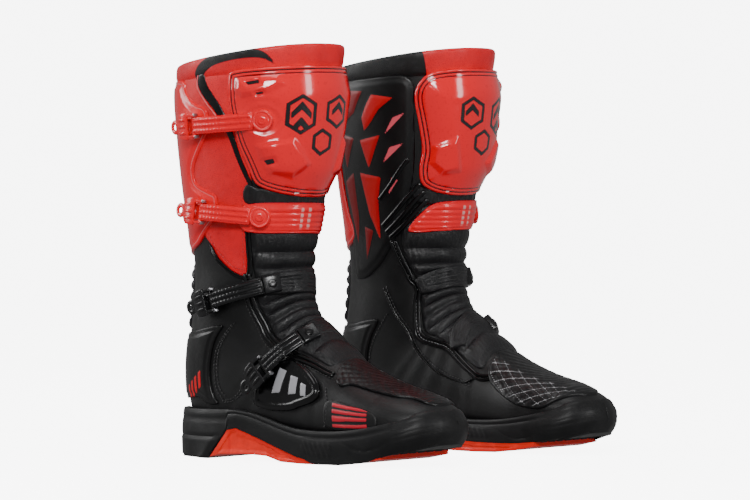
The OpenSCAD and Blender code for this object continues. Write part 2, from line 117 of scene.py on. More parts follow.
def along(points, step=1.0):
    """A smooth line through (t, u, out) points, sampled evenly on the skin."""
    p = np.array(points, float)
    f = cubic(p, np.linspace(0, len(p) - 1, 60 * len(p)))
    xyz = skin(f[:, 0], f[:, 1], f[:, 2])
    s = np.r_[0, np.cumsum(np.linalg.norm(np.diff(xyz, axis=0), axis=1))]
    at = np.linspace(0, s[-1], max(3, int(s[-1] / step) + 1))
    return np.stack([np.interp(at, s, f[:, k]) for k in range(3)], 1)


def inside(t, u, outline):
    hit = np.zeros(t.shape, bool)
    a, b = outline, np.roll(outline, -1, 0)
    for (t0, u0), (t1, u1) in zip(a, b):
        if t0 != t1:
            cross = (t0 > t) != (t1 > t)
            hit ^= cross & (u < (u1 - u0) * (t - t0) / (t1 - t0) + u0)
    return hit


def border_distance(t, u, outline):
    """Distance in mm to an outline on the skin, positive inside, and the length along it."""
    a, b = outline, np.roll(outline, -1, 0)
    span = np.linalg.norm(skin(a[:, 0], a[:, 1]) - skin(b[:, 0], b[:, 1]), axis=1)
    pts = np.concatenate([a[i] + (b[i] - a[i]) * np.linspace(0, 1, max(2, int(span[i] / .5) + 1), endpoint=False)[:,
        None]
                          for i in range(len(a))])
    xyz = skin(pts[:, 0], pts[:, 1]).astype(np.float32)
    run = np.r_[0, np.cumsum(np.linalg.norm(np.diff(xyz, axis=0), axis=1))]
    at = skin(t, u).reshape(-1, 3).astype(np.float32)
    d, s = np.empty(len(at), np.float32), np.empty(len(at), np.float32)
    for i in range(0, len(at), 4000):
        w = ((at[i:i + 4000, None] - xyz[None]) ** 2).sum(-1)
        k = w.argmin(1)
        d[i:i + 4000], s[i:i + 4000] = np.sqrt(w[np.arange(len(k)), k]), run[k]
    d = d.reshape(t.shape)
    return np.where(inside(t, u, outline), d, -d), s.reshape(t.shape)


# ---------------------------------------------------------------- meshes

def place(xyz, side):
    p = np.array(xyz, float)
    y = p[:, 1] - HALF_GAP
    return np.stack([(p[:, 0] - MID_X), y if side == "right" else -y, p[:, 2]], 1) / 1000


def build(name, side, xyz, faces, material, layers=None, flat_angle=50, slots=None, face_slot=None):
    """A mesh object of one boot from points in mm. The left boot's is the mirror image."""
    xyz = np.asarray(xyz, float)
    me = bpy.data.meshes.new(f"{side}_{name}")
    if side == "left":
        faces = [f[::-1] for f in faces]
    me.from_pydata(place(xyz, side).tolist(), [], [tuple(int(i) for i in f) for f in faces])
    rest = me.attributes.new("rest", "FLOAT_VECTOR", "POINT")
    rest.data.foreach_set("vector", xyz.astype(np.float32).ravel())
    for key, value in (layers or {}).items():
        me.attributes.new(key, "FLOAT", "POINT").data.foreach_set("value", np.asarray(value, np.float32).ravel())
    me.polygons.foreach_set("use_smooth", [True] * len(me.polygons))
    me.set_sharp_from_angle(angle=math.radians(flat_angle))
    for m in (slots or [material]):
        me.materials.append(m)
    if face_slot is not None:
        me.polygons.foreach_set("material_index", np.asarray(face_slot, np.int32))
    me.validate()
    me.update()
    ob = bpy.data.objects.new(f"{side}_{name}", me)
    bpy.context.scene.collection.objects.link(ob)
    return ob


def even(f, lo, hi, step):
    """Values from lo to hi at which the line f(x) advances by equal steps of about step mm."""
    x = np.linspace(lo, hi, 400)
    p = f(x)
    s = np.r_[0, np.cumsum(np.linalg.norm(np.diff(p, axis=0), axis=1))]
    return np.interp(np.linspace(0, s[-1], max(3, int(round(s[-1] / step)) + 1)), s, x)


def panel(name, side, outline, material, lift=.6, thick=2.0, radius=1.0, step=1.4, height=None,
          passes=3, foot=.9, layers=None, **more):
    """A slab of the skin inside an outline, with a rounded rim. height(t, u, d) is added to its face, where d is
    the distance to its border."""
    o = rounded(outline, passes) if passes else np.array(outline, float)
    tm, um = o[:, 0].mean(), o[:, 1].mean()
    tg = even(lambda x: skin(x, um), o[:, 0].min() - .01, o[:, 0].max() + .01, step)
    ug = even(lambda x: skin(tm, x), o[:, 1].min() - .3, o[:, 1].max() + .3, step)
    tt, uu = np.meshgrid(tg, ug, indexing="ij")
    d, s = border_distance(tt, uu, o)
    ok = d > 0
    ids = -np.ones(tt.shape, int)
    ids[ok] = np.arange(ok.sum())
    pt, pu, pd, ps = list(tt[ok]), list(uu[ok]), list(d[ok]), list(s[ok])
    cut = {}

    def crossing(i, j, k, m):
        key = (i, j, k, m) if (i, j) < (k, m) else (k, m, i, j)
        if key not in cut:
            f = np.clip(d[i, j] / (d[i, j] - d[k, m]), .02, .98)
            cut[key] = len(pt)
            pt.append(tt[i, j] + f * (tt[k, m] - tt[i, j]))
            pu.append(uu[i, j] + f * (uu[k, m] - uu[i, j]))
            pd.append(0.0)
            ps.append(s[i, j])
        return cut[key]

    tops, rim = [], []
    full = ok[:-1, :-1] & ok[1:, :-1] & ok[1:, 1:] & ok[:-1, 1:]
    some = (ok[:-1, :-1] | ok[1:, :-1] | ok[1:, 1:] | ok[:-1, 1:]) & ~full
    i, j = np.nonzero(full)
    tops += np.stack([ids[i, j], ids[i + 1, j], ids[i + 1, j + 1], ids[i, j + 1]], 1).tolist()
    for i, j in zip(*np.nonzero(some)):
        ring = [(i, j), (i + 1, j), (i + 1, j + 1), (i, j + 1)]
        shape, edge = [], []
        for a, b in zip(ring, ring[1:] + ring[:1]):
            if ok[a]:
                shape.append(ids[a])
            if ok[a] != ok[b]:
                c = crossing(*a, *b)
                shape.append(c)
                edge.append((c, ok[a]))
        leave = [c for c, out in edge if out]
        enter = [c for c, out in edge if not out]
        if len(edge) == 2 and len(shape) >= 3:
            tops.append(shape)
            rim.append((leave[0], enter[0]))
        elif len(edge) == 4:
            tops.append(shape)
            first = 0 if edge[0][1] else 1
            for k in (first, first + 2):
                rim.append((edge[k][0], edge[(k + 1) % 4][0]))
    t, u, dd, ss = np.array(pt), np.array(pu), np.array(pd), np.array(ps)
    if radius > thick:
        radius = thick
    h = lift + thick - radius + np.sqrt(np.clip(radius**2 - np.clip(radius - dd, 0, radius) ** 2, 0, None))
    if height is not None:
        h = h + height(t, u, dd) * smooth(0, .5, dd)
    xyz = skin(t, u, h)
    n = len(t)
    xyz = np.concatenate([xyz, skin(t, u, np.full(n, lift - foot))])
    faces = list(tops) + [(a, a + n, b + n, b) for a, b in rim]
    faces += [tuple(v + n for v in reversed(f)) for f in tops]
    # faces point outwards
    f = np.array(faces[0][:3])
    v = np.cross(xyz[f[1]] - xyz[f[0]], xyz[f[2]] - xyz[f[0]])
    out = skin(t[f[0]], u[f[0]], 5) - skin(t[f[0]], u[f[0]], 0)
    if v @ out < 0:
        faces = [tuple(g[::-1]) for g in faces]
    data = {"edge_d": np.r_[dd, dd * 0 - 1], "edge_s": np.r_[ss, ss]}
    for key, fn in (layers or {}).items():
        v = fn(t, u, dd)
        data[key] = np.r_[v, v]
    return build(name, side, xyz, faces, material, data, **more)


def normals(f):
    n = skin(f[:, 0], f[:, 1], f[:, 2] + 1) - skin(f[:, 0], f[:, 1], f[:, 2] - 1)
    return n / np.linalg.norm(n, axis=1)[:, None]


def tube_mesh(xyz, up, r_up, r_side, sides=10):
    """Points and faces of a closed tube along xyz, r_up high and r_side wide."""
    tan = np.gradient(xyz, axis=0)
    tan /= np.linalg.norm(tan, axis=1)[:, None]
    across = np.cross(tan, up)
    across /= np.linalg.norm(across, axis=1)[:, None]
    up = np.cross(across, tan)
    a = np.linspace(0, 2 * np.pi, sides, endpoint=False)
    n = len(xyz)
    end = np.ones(n)
    end[0] = end[-1] = .35
    pts = (xyz[:, None] + (up[:, None] * np.cos(a)[None, :, None] * r_up
                           + across[:, None] * np.sin(a)[None, :, None] * r_side) * end[:, None, None]).reshape(-1, 3)
    faces = [(i * sides + k, i * sides + (k + 1) % sides, (i + 1) * sides + (k + 1) % sides, (i + 1) * sides + k)
             for i in range(n - 1) for k in range(sides)]
    faces += [tuple(range(sides))[::-1], tuple((n - 1) * sides + k for k in range(sides))]
    return pts, [f[::-1] for f in faces]


def merge(parts):
    pts, faces, n = [], [], 0
    for p, f in parts:
        pts.append(p)
        faces += [tuple(i + n for i in g) for g in f]
        n += len(p)
    return np.concatenate(pts), faces


def piping(name, side, lines, material, r=.9, step=1.6, flat=1.0):
    parts = []
    for line in lines:
        f = along(line, step)
        parts.append(tube_mesh(skin(f[:, 0], f[:, 1], f[:, 2]), normals(f), r, r * flat, 8))
    return build(name, side, *merge(parts), material, flat_angle=80)


def stitching(name, side, lines, material, pitch=3.4, length=2.3, r=.34):
    parts = []
    for line in lines:
        f = along(line, pitch)
        xyz, up = skin(f[:, 0], f[:, 1], f[:, 2]), normals(f)
        tan = np.gradient(xyz, axis=0)
        tan /= np.linalg.norm(tan, axis=1)[:, None]
        k = np.linspace(-.5, .5, 5)
        for p, n, v in zip(xyz, up, tan):
            run = p + v * (k * length)[:, None] + n * (r * (1 - (2 * k) ** 2) - .1)[:, None]
            parts.append(tube_mesh(run, np.tile(n, (5, 1)), r, r, 6))
    return build(name, side, *merge(parts), material, flat_angle=80)


def loft(sections, closed_ends=True):
    """Points and faces through sections of equal point counts."""
    m, n = len(sections), len(sections[0])
    pts = np.concatenate(sections)
    faces = [(i * n + k, i * n + (k + 1) % n, (i + 1) * n + (k + 1) % n, (i + 1) * n + k)
             for i in range(m - 1) for k in range(n)]
    if closed_ends:
        faces += [tuple(range(n))[::-1], tuple((m - 1) * n + k for k in range(n))]
    return pts, faces


def bar_loft(rows, sides=20, power=3.2):
    """A moulded bar along x from rows of x, y centre, half width, z low, z high, as rounded boxes."""
    a = np.linspace(0, 2 * np.pi, sides, endpoint=False)
    c, s = np.cos(a), np.sin(a)
    y = np.sign(c) * np.abs(c) ** (2 / power)
    z = np.sign(s) * np.abs(s) ** (2 / power)
    out = []
    for x, yc, w, lo, hi in rows:
        out.append(np.stack([np.full(sides, x), yc + w * y, (lo + hi) / 2 + (hi - lo) / 2 * z], 1))
    return loft(out)


# ---------------------------------------------------------------- materials

class Shader:
    """A node material with short calls for the usual chains. Lengths are in millimetres."""

    def __init__(self, name, colour, rough, on_cad=False, **inputs):
        self.mat = bpy.data.materials.new(name)
        self.mat.use_nodes = True
        self.tree = self.mat.node_tree
        self.bsdf = self.tree.nodes["Principled BSDF"]
        self.colour, self.rough, self.height = None, None, None
        self.bsdf.inputs["Base Color"].default_value = (*colour, 1)
        self.bsdf.inputs["Roughness"].default_value = rough
        for key, value in inputs.items():
            self.bsdf.inputs[key.replace("_", " ")].default_value = value
        self.base = colour
        self.base_rough = rough
        if on_cad:
            scale = self.node("ShaderNodeVectorMath", operation="SCALE")
            scale.inputs["Scale"].default_value = 1000
            self.link(self.node("ShaderNodeTexCoord").outputs["Object"], scale.inputs[0])
            self.at = scale.outputs[0]
        else:
            self.at = self.attr("rest", "Vector")

    def node(self, kind, **props):
        n = self.tree.nodes.new(kind)
        for key, value in props.items():
            setattr(n, key, value)
        return n

    def link(self, a, b):
        self.tree.links.new(a, b)

    def attr(self, name, socket="Fac"):
        return self.node("ShaderNodeAttribute", attribute_name=name).outputs[socket]

    def math(self, op, a, b=None, c=None, clamp=False):
        n = self.node("ShaderNodeMath", operation=op, use_clamp=clamp)
        for k, v in enumerate((a, b, c)):
            if v is None:
                continue
            if isinstance(v, (int, float)):
                n.inputs[k].default_value = v
            else:
                self.link(v, n.inputs[k])
        return n.outputs[0]

    def noise(self, scale, detail=3.0, rough=.55, stretch=None):
        n = self.node("ShaderNodeTexNoise")
        n.inputs["Scale"].default_value = scale
        n.inputs["Detail"].default_value = detail
        n.inputs["Roughness"].default_value = rough
        self.link(self.stretched(stretch), n.inputs["Vector"])
        return n.outputs["Fac"]

    def cells(self, scale, feature="F1", stretch=None, randomness=1.0):
        n = self.node("ShaderNodeTexVoronoi", feature=feature)
        n.inputs["Scale"].default_value = scale
        n.inputs["Randomness"].default_value = randomness
        self.link(self.stretched(stretch), n.inputs["Vector"])
        return n.outputs["Distance"]

    def stretched(self, stretch):
        if stretch is None:
            return self.at
        n = self.node("ShaderNodeVectorMath", operation="MULTIPLY")
        self.link(self.at, n.inputs[0])
        n.inputs[1].default_value = stretch
        return n.outputs[0]

    def ramp(self, value, lo, hi, out_lo=0.0, out_hi=1.0, smooth_step=True):
        n = self.node("ShaderNodeMapRange", interpolation_type="SMOOTHSTEP" if smooth_step else "LINEAR")
        for key, v in (("From Min", lo), ("From Max", hi), ("To Min", out_lo), ("To Max", out_hi)):
            n.inputs[key].default_value = v
        self.link(value, n.inputs["Value"])
        return n.outputs["Result"]

    def mix(self, mask, a, b):
        n = self.node("ShaderNodeMix", data_type="RGBA")
        self.link(mask, n.inputs["Factor"])
        for k, v in ((6, a), (7, b)):
            if isinstance(v, tuple):
                n.inputs[k].default_value = (*v, 1)
            else:
                self.link(v, n.inputs[k])
        return n.outputs[2]

    def tint(self, mask, colour):
        self.colour = self.mix(mask, self.colour if self.colour is not None else self.base, colour)
        return self

    def gloss(self, mask, rough):
        """Brings the roughness to rough where mask is 1."""
        n = self.node("ShaderNodeMix", data_type="FLOAT")
        self.link(mask, n.inputs["Factor"])
        if self.rough is None:
            n.inputs[2].default_value = self.base_rough
        else:
            self.link(self.rough, n.inputs[2])
        n.inputs[3].default_value = rough
        self.rough = n.outputs[0]
        return self

    def raise_by(self, value, amount):
        v = self.math("MULTIPLY", value, amount)
        self.height = v if self.height is None else self.math("ADD", self.height, v)
        return self

    def done(self, bump_mm=1.0):
        if self.colour is not None:
            self.link(self.colour, self.bsdf.inputs["Base Color"])
        if self.rough is not None:
            self.link(self.rough, self.bsdf.inputs["Roughness"])
        if self.height is not None:
            n = self.node("ShaderNodeBump")
            n.inputs["Strength"].default_value = 1.0
            n.inputs["Distance"].default_value = bump_mm / 1000
            self.link(self.height, n.inputs["Height"])
            self.link(n.outputs["Normal"], self.bsdf.inputs["Normal"])
        return self.mat


def scuffed(s, strength=.6):
    """Fine scratches and dulled patches, as on a surface that has been handled."""
    scratch = s.noise(.9, 2, .5, (.25, 1.0, 3.5))
    s.gloss(s.math("MULTIPLY", s.ramp(s.noise(.035, 4), .45, .7), strength), s.base_rough + .16)
    s.raise_by(s.ramp(scratch, .3, .7), .012)
    return s


RED = (.90, .0006, .010)
DEEP_RED = (.55, .0004, .0015)
LIGHT_RED = (.85, .16, .17)
ORANGE_RED = (.80, .018, .004)
INK = (.0015, .0015, .0018)


def red_gloss(name, line=None, border=None, rough=.2, coat=.4):
    s = Shader(name, RED, rough, Coat_Weight=coat, Coat_Roughness=.04, Specular_IOR_Level=.35)
    s.tint(s.ramp(s.noise(.02, 3), .35, .75, 0, .55), (.95, .001, .012))
    s.tint(s.ramp(s.noise(.35, 3), .52, .8, 0, .35), DEEP_RED)
    scuffed(s)
    s.raise_by(s.noise(2.2, 3), .035)
    if line:
        d = s.attr("edge_d")
        for where, width, colour in line:
            off = s.math("ABSOLUTE", s.math("SUBTRACT", d, where))
            s.tint(s.ramp(off, width, width * .55), colour)
    if border:
        s.tint(s.ramp(s.attr("edge_d"), border[0], border[0] - .5), border[1])
    return s


def red_satin(name):
    s = Shader(name, (.84, .0006, .009), .40, Specular_IOR_Level=.3)
    s.tint(s.ramp(s.noise(.03, 4), .35, .7, 0, .6), (.90, .001, .010))
    s.tint(s.ramp(s.noise(.5, 3), .5, .8, 0, .3), DEEP_RED)
    s.raise_by(s.ramp(s.cells(1.6, "F1"), 0, .5), -.05)
    s.raise_by(s.noise(1.2, 4), .06)
    return scuffed(s, .4)


def black_satin(name, rough=.42, grain=.06, colour=INK, grain_scale=1.3):
    s = Shader(name, colour, rough, Specular_IOR_Level=.4)
    s.tint(s.ramp(s.noise(.04, 4), .35, .75, 0, .7), tuple(c * 1.6 + .0004 for c in colour))
    s.raise_by(s.ramp(s.cells(grain_scale, "F1"), 0, .55), -grain)
    s.raise_by(s.noise(grain_scale * .4, 3), grain)
    s.gloss(s.ramp(s.noise(.05, 4), .4, .7, 0, .5), rough + .14)
    return s


def rubber(name, colour, rough=.62):
    s = Shader(name, colour, rough, Specular_IOR_Level=.3)
    s.tint(s.ramp(s.noise(.06, 5), .4, .75, 0, .6), tuple(c * 1.5 + .002 for c in colour))
    s.tint(s.ramp(s.noise(.8, 3), .6, .85, 0, .3), tuple(min(1, c * 1.3 + .006) for c in colour))
    s.raise_by(s.noise(1.8, 4), .07)
    s.gloss(s.ramp(s.noise(.08, 3), .4, .7, 0, .6), rough - .14)
    return s


def leather(name, colour, rough=.45):
    s = Shader(name, colour, rough, Specular_IOR_Level=.4)
    s.tint(s.ramp(s.noise(.05, 4), .35, .75, 0, .6), tuple(c * .72 for c in colour))
    cell = s.cells(.75, "DISTANCE_TO_EDGE")
    s.tint(s.ramp(cell, .12, 0, 0, .5), tuple(c * .45 for c in colour))
    s.raise_by(s.ramp(cell, 0, .16), .09)
    s.raise_by(s.noise(.22, 4), .16)
    s.gloss(s.ramp(s.noise(.1, 4), .4, .7, 0, .6), rough + .15)
    return s


def mesh_fabric(name, colour):
    s = Shader(name, colour, .85, Sheen_Weight=.35, Sheen_Roughness=.5)
    hole = s.cells(.62, "F1", (1, 1, 1), .25)
    s.tint(s.ramp(hole, .42, .2, 0, .85), tuple(c * .25 for c in colour))
    s.tint(s.ramp(s.noise(.08, 4), .4, .7, 0, .5), tuple(c * 1.5 for c in colour))
    s.raise_by(s.ramp(hole, .2, .5), .3)
    s.raise_by(s.noise(2.5, 2), .08)
    return s


def brushed_steel(name, on_cad=False):
    s = Shader(name, (.52, .52, .54), .28, on_cad, Metallic=1.0)
    streak = s.noise(1.4, 3, .6, (8, .6, .6))
    s.tint(s.ramp(streak, .35, .7, 0, .5), (.36, .36, .38))
    s.gloss(s.ramp(streak, .4, .7, 0, .8), .42)
    s.raise_by(streak, .02)
    return s


def fibre_board(name):
    s = Shader(name, (.46, .36, .25), .8, True)
    s.tint(s.ramp(s.noise(.7, 5, .7, (.3, 1, 1)), .4, .65, 0, .8), (.32, .24, .16))
    s.raise_by(s.noise(1.2, 5), .15)
    return s


def thread(name, colour):
    s = Shader(name, colour, .6, Sheen_Weight=.3)
    s.tint(s.ramp(s.noise(1.1, 2, .5, (2, 2, 2)), .4, .6, 0, .6), tuple(c * .5 for c in colour))
    s.raise_by(s.noise(3, 2), .08)
    return s


M = {
    "red_gloss": red_gloss("red_gloss").done(),
    "black": black_satin("black_upper").done(),
    "black_gloss": black_satin("black_gloss", .2, .02).done(),
    "black_pad": leather("black_pad", (.005, .005, .006), .34).done(),
    "bellows": leather("black_bellows", (.005, .005, .006), .36).done(),
    "red_leather": leather("red_leather", (.90, .0006, .010), .42).done(),
    "lining": mesh_fabric("lining", (.045, .045, .05)).done(),
    "footbed": mesh_fabric("footbed_cloth", (.07, .07, .075)).done(),
    "steel": brushed_steel("steel").done(),
    "board": fibre_board("board").done(),
    "shank": brushed_steel("shank_steel", True).done(),
    "white_thread": thread("white_thread", (.42, .42, .43)).done(),
    "black_thread": thread("black_thread", (.009, .009, .010)).done(),
    "red_thread": thread("red_thread", (.55, .003, .008)).done(),
}


# ---------------------------------------------------------------- buckle frames

STRAPS = [((17.4, 50), (17.3, 98), 11.5, 8.6), ((15.4, 50), (15.5, 98), 6.8, 8.6),
          ((12.3, 38), (12.4, 92), 6.8, 8.6), ((6.95, 26), (7.6, 70), 6.8, 9.6)]
STRAP_NAMES = ("top", "calf", "ankle", "instep")
NECK, TILT, STRAP_W, STRAP_T = 10.2, 6.0, 16.0, 2.6


def unit(v):
    return v / np.linalg.norm(v)


def run(k):
    """Circle of a strap's run: centre, across, first direction, second direction, radius, sweep in degrees."""
    (at, au), (kt, ku), al, kl = STRAPS[k]
    a, z = skin(at, au, al), skin(kt, ku, kl)
    m = skin((at + kt) / 2, (au + ku) / 2, (al + kl) / 2)
    p, q = a - m, z - m
    n = np.cross(p, q)
    centre = m + np.cross((p @ p) * q - (q @ q) * p, n) / (2 * n @ n)
    ez, ex = -unit(n), unit(a - centre)
    ey = np.cross(ez, ex)
    far = z - centre
    return centre, ez, ex, ey, np.linalg.norm(a - centre), math.degrees(math.atan2(far @ ey, far @ ex))


def on_run(k, pts, angle=0.0, tilt=0.0, up=0.0):
    """Points given in a strap's frame (x along it, y across, z outward), in the boot's frame."""
    centre, ez, ex0, ey0, radius, _ = run(k)
    c, s = math.cos(math.radians(angle)), math.sin(math.radians(angle))
    ex, ey = ex0 * c + ey0 * s, ey0 * c - ex0 * s
    p = np.asarray(pts, float)
    ct, st = math.cos(math.radians(tilt)), math.sin(math.radians(tilt))
    x, y, z = p[:, 0] * ct + p[:, 2] * st, p[:, 1], p[:, 2] * ct - p[:, 0] * st + up
    return centre + ex * radius + x[:, None] * ey + y[:, None] * ez + z[:, None] * ex


def on_buckle(k, pts):
    return on_run(k, pts, run(k)[5], TILT, STRAP_T / 2)


def lathe(profile, sides=32, centre=(0, 0), ribs=0, rib_h=0.0, rib_from=0.0):
    """A solid of revolution about z from (radius, z) rows, whose first and last radius is 0."""
    a = np.linspace(0, 2 * np.pi, sides, endpoint=False)
    pts = [[centre[0], centre[1], profile[0][1]]]
    for r, z in profile[1:-1]:
        lift = rib_h * (np.abs(np.sin(a * ribs / 2)) - .5) * (r > rib_from) if ribs else 0
        pts += np.stack([centre[0] + r * np.cos(a), centre[1] + r * np.sin(a), z + lift + 0 * a], 1).tolist()
    pts.append([centre[0], centre[1], profile[-1][1]])
    n, rows = sides, len(profile) - 2
    faces = [(0, 1 + (k + 1) % n, 1 + k) for k in range(n)]
    faces += [(1 + i * n + k, 1 + i * n + (k + 1) % n, 1 + (i + 1) * n + (k + 1) % n, 1 + (i + 1) * n + k)
              for i in range(rows - 1) for k in range(n)]
    last = len(pts) - 1
    faces += [(last, last - n + k, last - n + (k + 1) % n) for k in range(n)]
    return np.array(pts), faces


def flip_if_inward(pts, faces):
    """Faces turned so that the closed mesh's volume is positive."""
    vol = 0.0
    for f in faces:
        for i in range(1, len(f) - 1):
            vol += np.dot(pts[f[0]], np.cross(pts[f[i]], pts[f[i + 1]]))
    return faces if vol > 0 else [tuple(f[::-1]) for f in faces]


def solid(name, side, parts, material, **more):
    fixed = [(p, flip_if_inward(p - p.mean(0), f)) for p, f in parts]
    return build(name, side, *merge(fixed), material, **more)


def ring_loft(rows, columns, section, cap_start=None):
    """A closed solid round the boot: for every u, the same closed section of (t, off) points."""
    u = np.linspace(0, 360, columns, endpoint=False)
    sec = np.array([section(x) for x in u])
    pts = skin(sec[..., 0], u[:, None], sec[..., 1]).reshape(-1, 3)
    n = sec.shape[1]
    faces = [(i * n + k, i * n + (k + 1) % n, (i + 1) % columns * n + (k + 1) % n, (i + 1) % columns * n + k)
             for i in range(columns) for k in range(n)]
    tt, uu = sec[..., 0].ravel(), np.repeat(u, n)
    return pts, faces, tt, uu


def folded(u):
    return np.minimum(u % 360, 360 - u % 360) * np.where(u % 360 > 180, -1, 1)


def poly_distance(t, u, polys):
    """Signed distance in mm to the nearest of several outlines, positive inside one."""
    best = np.full(np.shape(t), -1e3)
    for p in polys:
        d, _ = border_distance(t, u, np.array(p, float))
        best = np.maximum(best, d)
    return best


def bars(t0, t1, u0, u1, count, slant, fill=.55):
    """Outlines of slanted bars that fill a patch of the skin."""
    out = []
    step = (u1 - u0) / count
    for k in range(count):
        a = u0 + k * step
        out.append([(t0, a + slant), (t0, a + slant + step * fill), (t1, a + step * fill), (t1, a)])
    return out


def masked(s, name, colour, soft=.35, rough=None):
    m = s.ramp(s.attr(name), -soft, soft)
    s.tint(m, colour)
    if rough is not None:
        s.gloss(m, rough)
    return s


SHIN_MAT = red_gloss("shin_plate_red", line=[(3.2, .8, (.03, .001, .002)), (6.6, .65, (.05, .001, .002))], rough=.10,
    coat=.9)
masked(SHIN_MAT, "mark", (.004, .004, .005), rough=.25)
# painted shade: the middle of each shin plate recess is painted near-black red to stand for the shade inside it
masked(SHIN_MAT, "recess_painted_shade", (.006, .001, .002))
M["shin"] = SHIN_MAT.done()
CALF_MAT = red_gloss("calf_plate_red", line=[(3.0, .55, LIGHT_RED)], rough=.22)
M["calf"] = CALF_MAT.done()
SHARD_MAT = black_satin("calf_guard_graphic", .36)
masked(SHARD_MAT, "shard_a", (.20, .0005, .002))
masked(SHARD_MAT, "shard_b", (.52, .001, .004))
masked(SHARD_MAT, "shard_c", (.74, .09, .12))
M["shards"] = SHARD_MAT.done()
PATCH_MAT = black_satin("side_patch_graphic", .4)
masked(PATCH_MAT, "bars", (.55, .012, .03), rough=.3)
M["patch"] = PATCH_MAT.done()
COUNTER_MAT = black_satin("heel_counter_black", .3)
masked(COUNTER_MAT, "bars", (.74, .003, .008), rough=.28)
M["counter"] = COUNTER_MAT.done()
PAD_MAT = rubber("shift_pad_rubber", (.0026, .0026, .003), .4)
masked(PAD_MAT, "lines", (.30, .30, .31), .25, .4)
M["pad"] = PAD_MAT.done()
COLLAR_MAT = leather("collar_leather", (.90, .0006, .010), .32)
masked(COLLAR_MAT, "dark", (.0026, .0026, .003), .4)
masked(COLLAR_MAT, "inner", (.010, .010, .012), .4, .7)
M["collar"] = COLLAR_MAT.done()
DOT_MAT = rubber("insert_rubber", ORANGE_RED, .5)
masked(DOT_MAT, "frame", (.84, .012, .004), .3, .35)
M["insert"] = DOT_MAT.done()
SOLE_MAT = rubber("sole_rubber", (.0036, .0036, .004), .5)
M["sole"] = SOLE_MAT.done()
STRAP_BLACK = black_satin("strap_black", .26, .03)
# ridge crests of the black straps: the slightly lighter colour there is a painted highlight, the lower roughness is
# real gloss
masked(STRAP_BLACK, "ridge", (.012, .012, .013), .1, .16)
M["strap_black"] = STRAP_BLACK.done()
STRAP_RED = red_gloss("strap_red", rough=.24)
M["strap_red"] = STRAP_RED.done()
GUARD_MAT = black_satin("guard_black", .16, .015)
masked(GUARD_MAT, "grille", (.36, .36, .38), rough=.22)
M["guard"] = GUARD_MAT.done()
BAND_MAT = red_gloss("front_band_red", rough=.3)
# painted highlight: light pink on the rib crests in two narrow columns near the front stands for softbox reflections
masked(BAND_MAT, "rib_painted_highlight", (.80, .38, .36))
M["band"] = BAND_MAT.done()
LIGHT = red_satin("light_red_line")
LIGHT.base = LIGHT_RED
LIGHT.colour = None
LIGHT.tint(LIGHT.ramp(LIGHT.noise(.3, 3), .4, .7, 0, .5), (.70, .08, .09))
LIGHT.bsdf.inputs["Base Color"].default_value = (*LIGHT_RED, 1)
M["light_red"] = LIGHT.done()


# ---------------------------------------------------------------- the sole

SOLE = np.array([
    [-2, 5, 5, 45, 3, 5, 5, 3], [-0.6, 13, 13, 46, 1, 3, 3, 1], [1.2, 18, 17.5, 46, 0, 2, 2, 0],
    [3, 22, 21, 46, 0, 2, 2, 0], [12, 31, 30, 46, 0, 2, 2, 0], [26, 38.5, 37, 46, 0, 2, 2, 0],
    [45, 44, 42.5, 46, 0, 2, 2, 0], [65, 47, 45.5, 46.5, 0, 2, 2, 0], [79, 48, 46, 47, 0, 2, 2, 0],
    [82, 48, 46, 47, 1.5, 28, 28, 9.6], [92, 48.5, 46, 47, 4.5, 30, 30, 9.6], [110, 49, 46, 45, 6, 25.5, 25, 9.6],
    [132, 50.5, 46.5, 40, 5, 18, 17, 9.2], [150, 52, 47.5, 35.5, .6, 12.5, 13, 6], [170, 53.5, 49, 32, 0, 6.5, 11, 5.2],
    [195, 55, 51.5, 31, 0, 2.6, 10, 5.2], [222, 56, 53.5, 32, .8, 2.8, 10, 5.6], [246, 55.5, 53, 35, 3.4, 5.4, 10.5, 8],
    [268, 53, 51, 39.5, 7.5, 9.5, 12.5, 12], [286, 48, 46.5, 44.5, 12, 14, 14.5, 15],
    [299, 40.5, 39.5, 49.5, 15.8, 17.8, 17.8, 15.8], [306, 33, 32, 51.5, 18, 20, 20, 18],
    [310.6, 24, 23.5, 52.3, 19.5, 21.5, 21.5, 19.5], [313.2, 16, 15.5, 52.5, 20.6, 22.6, 22.6, 20.6],
    [315, 6, 6, 51, 23, 25, 25, 23]])
FLOOR_Z, CUP_WALL = 12.2, 3.6


PLAN = cubic(SOLE, np.linspace(0, len(SOLE) - 1, 600))
PLAN[:, 0] = np.maximum.accumulate(PLAN[:, 0])


def sole_at(x):
    """Widths and rim from the smooth plan, and lower edges straight between the rows."""
    return np.array([np.interp(x, PLAN[:, 0], PLAN[:, k]) for k in range(4)]
                    + [np.interp(x, SOLE[:, 0], SOLE[:, k]) for k in range(4, 8)])


def wall_detail(x, z, low, rim):
    """How far the side of the cup sole stands proud of its plain wall, in mm."""
    f = (z - low) / max(1.0, rim - low)
    h = .9 * math.exp(-((f - .93) / .07) ** 2)
    h -= .8 * math.exp(-((f - .80) / .03) ** 2)
    heel = 1 - min(1, max(0, (x - 70) / 12))
    h += heel * (1.0 * (1 - min(1, max(0, (z - 19) / 1.2))) - .9 * math.exp(-((z - 20.5) / .8) ** 2))
    ball = math.exp(-((x - 250) / 26) ** 4)
    smile = 15 + 9 * ((x - 250) / 26) ** 2
    h -= ball * .9 * math.exp(-((z - smile) / .9) ** 2)
    if 176 < x < 214 and f > .25 and f < .66:
        h += .55 * max(0.0, math.sin((x - 176 + (z - low) * .6) / 6.4 * 2 * math.pi)) ** .5
    if x > 276:
        h += .6 * max(0.0, math.sin((z - low) / 4.6 * 2 * math.pi)) * min(1, (x - 276) / 10)
    return h


